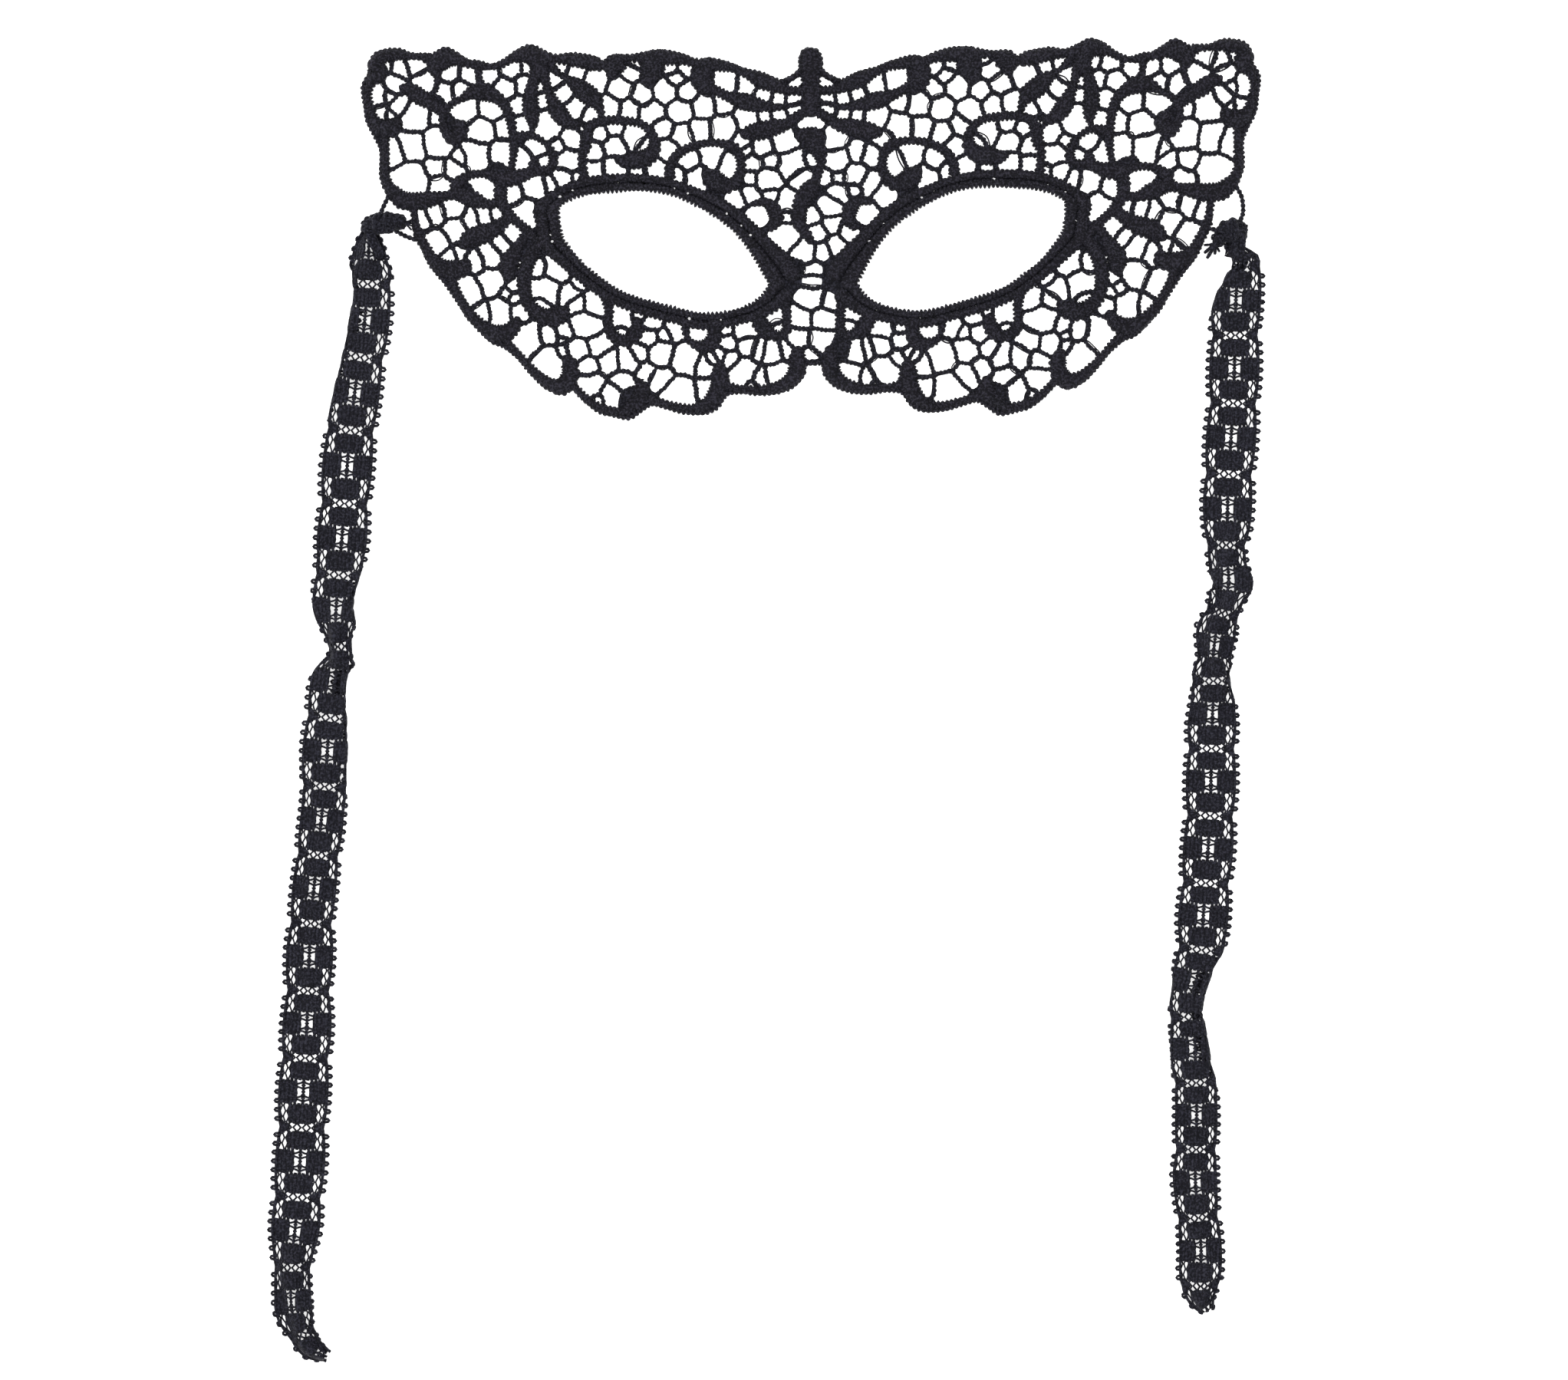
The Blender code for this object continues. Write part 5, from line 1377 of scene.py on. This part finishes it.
class LaceRepeat:
    """One repeat of the tie's lace, from waist to waist."""

    def __init__(self, sizes: TieSizes) -> None:
        """Keeps the sizes.

        Args:
            sizes: Sizes of the tie.
        """
        self.sizes = sizes

    @staticmethod
    def edge(along: np.ndarray) -> np.ndarray:
        """How far out the scalloped edge lies, in half widths."""
        return 0.80 + 0.11 * np.abs(np.sin(np.mod(along, 1) * math.pi)) ** 0.7

    def _pillars(self) -> list[Strand]:
        """Zigzag pillars of the hexagonal net beside the blocks, touching in pairs."""
        found = []
        along = np.linspace(0, 1, 14)
        for side in (-1, 1):
            for number, base in enumerate((0.55, 0.685, 0.82)):
                swing = 0.040 * np.where((np.arange(14) + number) % 2 == 0, 1, -1)
                across = base + swing
                limit = self.edge(along) - 0.03
                across = np.minimum(across, limit)
                found.append(Strand(along, side * across, self.sizes.net_radius * 0.92))
        return found

    def _edge_cords(self) -> list[Strand]:
        """The thicker cord along each scalloped edge."""
        along = np.linspace(0, 1, 21)
        found = []
        for side in (-1, 1):
            found.append(Strand(along, side * self.edge(along), self.sizes.edge_radius, flat=0.9))
        return found

    def _picots(self) -> list[Strand]:
        """Seven small loops along each edge."""
        found = []
        for number in range(7):
            middle = 0.115 + number * 0.128
            spread = 0.023
            along = middle + spread * np.array((-1.15, -1.0, -0.85, 0.0, 0.85, 1.0, 1.15))
            out = self.sizes.picot * np.array((-0.25, 0.30, 0.74, 1.0, 0.74, 0.30, -0.25))
            for side in (-1, 1):
                across = side * np.repeat(self.edge(np.array([middle])), 7)
                found.append(Strand(along, across, self.sizes.picot_radius, out=side * out))
        return found

    def _block(self, start: float, end: float, low: float, high: float, ribs: int) -> list[Strand]:
        """A solid block of ribs that run lengthwise.

        Args:
            start: Where it begins along the repeat.
            end: Where it ends.
            low: Its inner edge across, in half widths.
            high: Its outer edge.
            ribs: Number of ribs.
        """
        found = []
        lines = np.linspace(low, high, ribs * 2 + 1)[1::2]
        for number, line in enumerate(lines):
            outer = number in (0, ribs - 1)
            trim = 0.012 if outer else 0.0
            along = np.linspace(start + trim, end - trim, 8)
            radius = self.sizes.rib_radius * np.array((0.55, 0.95, 1.05, 0.93, 1.05, 0.93, 1.0, 0.55))
            wave = 0.008 * np.where(np.arange(8) % 2 == 0, 1, -1)
            found.append(Strand(along, line + wave, radius, flat=self.sizes.rib_flat, rise=0.00008))
        return found

    def _blocks(self) -> list[Strand]:
        """The two middle blocks and the two side blocks beside the window."""
        found = self._block(0.052, 0.322, -0.53, 0.53, 7) + self._block(0.648, 0.948, -0.53, 0.53, 7)
        for side in (-1, 1):
            low, high = sorted((side * 0.24, side * 0.84))
            found += self._block(0.305, 0.665, low, high, 4)
        return found

    def _window(self) -> list[Strand]:
        """The lattice in the window: a middle chain with slanting links to both sides."""
        along = np.linspace(0.30, 0.67, 9)
        chain = 0.050 * np.where(np.arange(9) % 2 == 0, 1, -1)
        found = [Strand(along, side * chain, self.sizes.net_radius * 1.2) for side in (1, -1)]
        for step, level in enumerate((0.345, 0.445, 0.540, 0.625)):
            lean = 0.035 if step % 2 == 0 else -0.035
            for side in (-1, 1):
                found.append(Strand(np.array((level, level + lean * 0.6, level + lean)),
                                    side * np.array((0.0, 0.15, 0.30)), self.sizes.net_radius * 1.05))
        return found

    def _waist(self) -> list[Strand]:
        """Small eyelets across the waist and the filled triangle at each edge."""
        along = np.array((-0.085, -0.045, 0.0, 0.045, 0.085))
        found = []
        for number, base in enumerate((-0.45, -0.27, -0.09, 0.09, 0.27, 0.45)):
            swing = 0.055 * np.where((np.arange(5) + number) % 2 == 0, 1, -1)
            found.append(Strand(along, base + swing, self.sizes.net_radius * 1.25))
        for side in (-1, 1):
            for inset, reach in ((0.04, 0.105), (0.11, 0.085), (0.18, 0.060), (0.25, 0.030)):
                line = side * (0.80 - inset)
                found.append(Strand(np.linspace(-reach, reach, 5), np.full(5, line),
                                    self.sizes.rib_radius * np.array((0.4, 0.85, 0.95, 0.85, 0.4)),
                                    flat=self.sizes.rib_flat))
        return found

    def solid(self) -> list[Strand]:
        """The ribs of the blocks, the waists and the edge cords."""
        return self._edge_cords() + self._blocks() + self._waist()

    def openwork(self) -> list[Strand]:
        """The fine threads: net, lattice and picots."""
        return self._pillars() + self._window() + self._picots()


@dataclass
class LaceTie:
    """One lace tie, laid along its path and rolled under where it narrows."""

    word: str
    chart: tuple
    waists: tuple
    knot: tuple
    side: int
    drop: float
    finish: bpy.types.Material
    panel: PanelSizes = field(default_factory=PanelSizes)
    sizes: TieSizes = field(default_factory=TieSizes)
    step: float = 0.0005

    def __post_init__(self) -> None:
        """Works out the table of the tie's path."""
        across, up, _ = self.knot[-1]
        x, y = self.panel.spot(across, up, self.side)
        top = np.array((x, y - self.sizes.top_gap))
        rows = [(top[0] + sideways * self.drop, top[1] - down * self.drop, share,
                 math.radians(roll) * self.sizes.roll_share, bias, down)
                for down, sideways, share, roll, bias in self.chart]
        self.table = spline(rows, self.step)
        self.table[:, 2] = np.clip(self.table[:, 2], self.sizes.narrowest, 1.0)
        self.table[:, 4] = np.clip(self.table[:, 4], -1, 1)
        self.along = lengths(self.table[:, :2])
        self.ahead = unit(np.gradient(self.table[:, :2], axis=0))
        self.base = self._base()

    def _profile(self, row: np.ndarray, across: np.ndarray) -> tuple[np.ndarray, np.ndarray, np.ndarray]:
        """The section of the cloth: where a place across it lies and which way it faces.

        Args:
            row: Table rows, one for each place.
            across: Distance from the middle of the cloth.

        Returns:
            Sideways place, height, and the angle that the cloth has turned.
        """
        sizes = self.sizes
        half = sizes.width / 2
        rolled = np.clip((np.abs(row[:, 4]) - sizes.roll_from) / sizes.roll_from, 0, 1)
        hidden = (1 - row[:, 2]) * 2 * half * rolled
        drawn = 1 - (1 - row[:, 2]) * (1 - rolled)
        pucker = np.minimum(np.sqrt(1 / drawn ** 2 - 1) * sizes.pucker, sizes.pucker_most)
        side = np.sign(across)
        own = hidden * (1 + side * row[:, 4]) / 2
        radius = sizes.roll_radius
        bend = half - own - radius * np.clip(own / radius, 0, 1)
        bend = np.maximum(bend, sizes.bend_least)
        past = np.abs(across) - bend
        turn = np.clip(past / radius, 0, math.pi)
        x = np.where(past > 0, bend + radius * np.sin(turn), np.abs(across))
        x = np.where(past > math.pi * radius, bend - (past - math.pi * radius), x)
        z = np.where(past > 0, -radius * (1 - np.cos(turn)), 0.0)
        wave = across / half * sizes.fold_turn + sizes.fold_drift * np.sin(row[:, 5] * sizes.fold_rate)
        z = z + pucker * np.cos(wave)
        lean = np.arctan(-pucker * np.sin(wave) * sizes.fold_turn / half / drawn)
        x = side * x * drawn
        roll = row[:, 3]
        sideways = x * np.cos(roll) - z * np.sin(roll)
        height = x * np.sin(roll) + z * np.cos(roll)
        return sideways, height, roll - side * turn + lean

    def _base(self) -> np.ndarray:
        """The lift at each table row that sets the cloth's lowest place on the floor."""
        sizes = self.sizes
        count = sizes.section_places
        places = np.linspace(-1, 1, count) * (sizes.width / 2 + sizes.past_edge)
        lowest = np.array([self._profile(np.repeat(row[None, :], count, axis=0), places)[1].min()
                           for row in self.table])
        kernel = np.hanning(sizes.smooth_rows)
        padded = np.pad(-lowest, sizes.smooth_rows // 2, mode="edge")
        return np.convolve(padded, kernel / kernel.sum(), mode="valid") + sizes.low

    def place(self, down: np.ndarray, across: np.ndarray, rise: float) -> tuple[np.ndarray, np.ndarray]:
        """Lays places of the flat cloth along the tie.

        Args:
            down: Distance along the tie.
            across: Distance from its middle.
            rise: Height above the cloth's middle.

        Returns:
            Points, and the cloth's up at each.
        """
        row = np.column_stack([np.interp(down, self.along, column) for column in self.table.T])
        ahead = unit(np.column_stack([np.interp(down, self.along, column) for column in self.ahead.T]))
        base = np.interp(down, self.along, self.base)
        x, z, turn = self._profile(row, across)
        right = np.column_stack((-ahead[:, 1], ahead[:, 0]))
        point = np.column_stack((row[:, :2] + x[:, None] * right, np.maximum(base + z, self.sizes.low)))
        up = np.column_stack((-np.sin(turn)[:, None] * right, np.cos(turn)))
        return point + rise * up, up

    def lace(self, name: str, strands: list[Strand]) -> bpy.types.Object:
        """Lays the given threads of every repeat along the tie, as one mesh.

        Args:
            name: Name of the piece.
            strands: Threads of one repeat.

        Returns:
            The piece, riding on the root body.
        """
        mesh = ThreadMesh()
        shares, counts = np.array(self.waists).T
        down_at = np.interp(shares * self.drop, self.top_down(), self.along)
        first, last = math.floor(counts[0]), math.ceil(counts[-1])
        half = self.sizes.width / 2
        for repeat in range(first, last + 1):
            for strand in strands:
                count = repeat + strand.along
                keep = (count >= counts[0]) & (count <= counts[-1])
                if keep.sum() < 3:
                    continue
                down = np.interp(count[keep], counts, down_at)
                across = strand.across[keep] * half
                if strand.out is not None:
                    across = across + strand.out[keep]
                point, up = self.place(down, across, strand.rise)
                radius = strand.radius if np.isscalar(strand.radius) else np.asarray(strand.radius)[keep]
                mesh.tube(point, radius, sides=strand.sides, flat=strand.flat, up=up)
        piece = mesh.to_object(f"{name}_{self.word}", self.finish)
        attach(piece, "root")
        return piece

    def top_down(self) -> np.ndarray:
        """Distance below the tie's top at each table row, straight down the picture."""
        return np.maximum.accumulate(self.table[:, 5]) * self.drop

    def build(self, knot: bpy.types.Object) -> None:
        """Args:
            knot: The knot that it comes out of; not used.
        """
        repeat = LaceRepeat(self.sizes)
        cloth = self.lace("tie_ribs", repeat.solid())
        fine = self.lace("tie_net", repeat.openwork())
        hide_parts(f"tie_{self.word}")


@dataclass
class Knot:
    """A knot of rolled lace round the loop thread, with its frayed end."""

    word: str
    chart: tuple
    side: int
    fray: tuple[tuple[float, float, float], ...]
    wrap_at: tuple[float, ...]
    stem: tuple[tuple[float, float, float], ...]
    finish: bpy.types.Material
    panel: PanelSizes = field(default_factory=PanelSizes)
    strands: int = 7
    twist: float = 0.0100
    spread: float = 0.00085
    crumbs: int = 46
    wrap_radius: float = 0.00055
    stem_radius: float = 0.00050
    lowest: float = 0.0004

    def _axis(self) -> np.ndarray:
        """Rows of x, y and half thickness along the knot."""
        rows = [(*self.panel.spot(across, up, self.side), share * self.panel.knot / 2)
                for across, up, share in self.chart]
        return spline(rows, 0.0004)

    def build(self) -> bpy.types.Object:
        """Builds the knot: a bundle of twisted strands, wraps round it, and frayed threads."""
        rng = np.random.default_rng(SEED + self.side)
        mesh = ThreadMesh()
        axis = self._axis()
        along = lengths(axis[:, :2])
        ahead = unit(np.gradient(axis[:, :2], axis=0))
        left = np.column_stack((-ahead[:, 1], ahead[:, 0], np.zeros(len(axis))))
        centre = np.column_stack((axis[:, :2], axis[:, 2] * 0.96))
        size = axis[:, 2:3]
        for number in range(self.strands):
            turn = (number / self.strands * 2 * math.pi + along / self.twist * 2 * math.pi)[:, None]
            thick = size * rng.uniform(0.34, 0.42)
            path = centre + (size - thick) * (np.cos(turn) * left + np.sin(turn) * np.array((0, 0, 0.9)))
            knobs = 1 + 0.10 * np.sin(along / 0.0011 * 2 * math.pi + rng.uniform(0, 6))
            path[:, 2] = np.maximum(path[:, 2], thick[:, 0] * 0.9)
            mesh.tube(path, thick[:, 0] * knobs, sides=8)
        mesh.tube(centre, size[:, 0] * 0.72, sides=8)
        self._wraps(mesh, axis, centre, left, rng)
        self._frays(mesh, axis, ahead, rng)
        self._crumbs(mesh, axis, left, rng)
        self._stem(mesh, rng)
        piece = mesh.to_object(f"lace_knot_{self.word}", self.finish)
        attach(piece, "root")
        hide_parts(f"knot_{self.word}")
        return piece

    def _wraps(self, mesh: ThreadMesh, axis: np.ndarray, centre: np.ndarray, left: np.ndarray,
               rng: np.random.Generator) -> None:
        """Winds the rolled cloth round the bundle at each named share of its length."""
        ahead = np.cross(left, (0, 0, 1))
        for share in self.wrap_at:
            index = round(share * (len(axis) - 1))
            turn = np.linspace(0, 2 * math.pi, 22, endpoint=False)
            lean = 0.0009 * np.sin(turn + rng.uniform(-0.6, 0.6))
            reach = axis[index, 2] * 0.98
            ring = (centre[index] + reach * np.cos(turn)[:, None] * left[index]
                    + reach * np.sin(turn)[:, None] * np.array((0, 0, 1)) + lean[:, None] * ahead[index])
            ring[:, 2] = np.maximum(ring[:, 2], 0.0005)
            radial = unit(ring - centre[index])
            radius = self.wrap_radius * (1 + 0.12 * np.sin(turn * 7))
            mesh.tube(ring, radius, sides=8, up=radial, closed=True)

    def _crumbs(self, mesh: ThreadMesh, axis: np.ndarray, left: np.ndarray,
                rng: np.random.Generator) -> None:
        """Roughens the bundle with bits of the lace's net and picots that stand out of it."""
        for _ in range(self.crumbs):
            index = int(rng.integers(len(axis) // 10, len(axis) - len(axis) // 12))
            centre, size = np.array((*axis[index, :2], axis[index, 2])), axis[index, 2]
            around = rng.uniform(-0.2, math.pi + 0.2) + np.linspace(0, rng.uniform(0.5, 1.1), 5)
            ahead = np.cross(left[index], (0, 0, 1))
            drift = np.linspace(-1, 1, 5) * rng.uniform(0.4, 1.2) * MM * rng.choice((-1, 1))
            reach = size * 0.92 + np.array((-0.1, 0.25, 0.42, 0.25, -0.1)) * MM * rng.uniform(0.6, 1.5)
            path = (centre + (reach * np.cos(around))[:, None] * left[index]
                    + (reach * np.sin(around))[:, None] * np.array((0, 0, 0.9)) + drift[:, None] * ahead)
            path[:, 2] = np.maximum(path[:, 2], self.lowest)
            mesh.tube(path, rng.uniform(0.00024, 0.00036), sides=6)

    def _stem(self, mesh: ThreadMesh, rng: np.random.Generator) -> None:
        """The folded strip of lace that runs out of the knot on top of the tie."""
        path = spline([(x * MM, y * MM, z * MM) for x, y, z in self.stem], 0.0004)
        ahead = unit(np.gradient(path, axis=0))
        side = unit(np.cross((0.0, 0.0, 1.0), ahead))
        for shift in (-0.95, -0.32, 0.32, 0.95):
            wave = 1 + 0.14 * np.sin(lengths(path) / 0.0010 * 2 * math.pi + rng.uniform(0, 6))
            ends = np.minimum(1, np.linspace(0, 6, len(path))[::-1] + 0.35)
            strand = path + shift * self.spread * side * ends[:, None]
            mesh.tube(strand, self.stem_radius * wave * ends, sides=8)

    def _frays(self, mesh: ThreadMesh, axis: np.ndarray, ahead: np.ndarray,
               rng: np.random.Generator) -> None:
        """Fans frayed fingers out of the knot's loose end, down to the floor."""
        start = np.array((*axis[0, :2], axis[0, 2]))
        back = -ahead[0]
        for angle, reach, thick in self.fray:
            turn = math.radians(angle)
            way = np.array((back[0] * math.cos(turn) - back[1] * math.sin(turn),
                            back[0] * math.sin(turn) + back[1] * math.cos(turn)))
            t = np.linspace(-0.25, 1, 9)[:, None]
            bend = rng.uniform(-0.12, 0.12) * np.array((-way[1], way[0]))
            flat = start[:2] + reach * MM * (t * way + t ** 2 * bend)
            height = np.maximum(start[2] * (1 - np.clip(t[:, 0], 0, 1)) ** 1.5 + thick * MM, thick * MM)
            path = np.column_stack((flat, height))
            knobs = 1 + 0.15 * np.sin(np.arange(9) * 2.2)
            mesh.tube(path, thick * MM * np.linspace(1, 0.75, 9) * knobs, sides=6)


@dataclass(frozen=True)
class Studio:
    """The white ground, the soft light and the camera straight above the mask."""

    picture_centre: tuple[float, float] = (-0.0088, -0.1562)
    picture_width: float = 0.4088
    roll: float = -0.65
    lens: float = 100.0
    sensor: float = 36.0
    near: float = 0.01
    floor_size: float = 6.0
    floor_glow: float = 0.55
    floor_tones: tuple[float, float] = (0.93, 0.96)
    floor_grain: float = 12.0
    floor_roughness: float = 0.9
    floor_specular: float = 0.1
    world_light: float = 1.0

    def floor(self) -> None:
        """A wide white floor that the mask lies on."""
        bpy.ops.mesh.primitive_plane_add(size=self.floor_size, location=(0, 0, 0))
        floor = bpy.context.active_object
        floor.name = "white_floor"
        material = bpy.data.materials.new("white_paper")
        material.use_nodes = True
        nodes, links = material.node_tree.nodes, material.node_tree.links
        shader = nodes["Principled BSDF"]
        shader.inputs["Specular IOR Level"].default_value = self.floor_specular
        shader.inputs["Roughness"].default_value = self.floor_roughness
        place = nodes.new("ShaderNodeTexCoord")
        grain = nodes.new("ShaderNodeTexNoise")
        grain.inputs["Scale"].default_value = self.floor_grain
        tone = nodes.new("ShaderNodeValToRGB")
        for element, grey in zip(tone.color_ramp.elements, self.floor_tones):
            element.color = (grey, grey, grey, 1)
        links.new(place.outputs["Object"], grain.inputs["Vector"])
        links.new(grain.outputs["Fac"], tone.inputs["Fac"])
        links.new(tone.outputs["Color"], shader.inputs["Base Color"])
        shader.inputs["Emission Color"].default_value = (1, 1, 1, 1)
        shader.inputs["Emission Strength"].default_value = self.floor_glow
        floor.data.materials.append(material)

    def lights(self) -> None:
        """One wide soft light above, a lower one from the side, and an even white world."""
        for name, spot, turn, size, power in (
                ("overhead_softbox", (0.0, -0.1, 1.6), (0, 0, 0), 1.8, 20.0),
                ("side_softbox", (-1.3, 0.5, 0.9), (0, math.radians(-55), math.radians(-20)), 0.9, 8.0)):
            bpy.ops.object.light_add(type="AREA", location=spot, rotation=turn)
            light = bpy.context.active_object
            light.name = name
            light.data.shape = "SQUARE"
            light.data.size = size
            light.data.energy = power
        world = bpy.data.worlds.new("white_room")
        world.use_nodes = True
        background = world.node_tree.nodes["Background"]
        background.inputs["Color"].default_value = (1, 1, 1, 1)
        background.inputs["Strength"].default_value = self.world_light
        bpy.context.scene.world = world
        bpy.context.scene.view_settings.view_transform = "Standard"

    def camera(self) -> None:
        """A long lens straight above, rolled as the photograph is."""
        height = self.picture_width * self.lens / self.sensor
        bpy.ops.object.camera_add(location=(*self.picture_centre, height),
                                  rotation=(0, 0, math.radians(self.roll)))
        camera = bpy.context.active_object
        camera.name = "overhead_camera"
        camera.data.lens = self.lens
        camera.data.sensor_width = self.sensor
        camera.data.sensor_fit = "HORIZONTAL"
        camera.data.clip_start = self.near
        bpy.context.scene.camera = camera

    def build(self) -> None:
        """Builds floor, lights and camera."""
        self.floor()
        self.lights()
        self.camera()


def main() -> None:
    """Builds the mask's looks round its CAD model."""
    logging.basicConfig(level=logging.INFO, format="%(message)s")
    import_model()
    dye = Dye()
    Studio().build()
    LacePanel(dye).build()
    lace = dye.thread(TIE_THREAD)
    knots = (Knot("left", LEFT_KNOT, -1, LEFT_FRAY, LEFT_WRAPS, LEFT_STEM, lace),
             Knot("right", RIGHT_KNOT, 1, RIGHT_FRAY, RIGHT_WRAPS, RIGHT_STEM, lace, spread=0.00138))
    ties = (LaceTie("left", LEFT_TIE_PATH, LEFT_WAISTS, LEFT_KNOT, -1, LEFT_DROP, lace),
            LaceTie("right", RIGHT_TIE_PATH, RIGHT_WAISTS, RIGHT_KNOT, 1, RIGHT_DROP, lace))
    for tie, knot in zip(ties, knots):
        tie.build(knot.build())


if __name__ == "__main__":
    main()
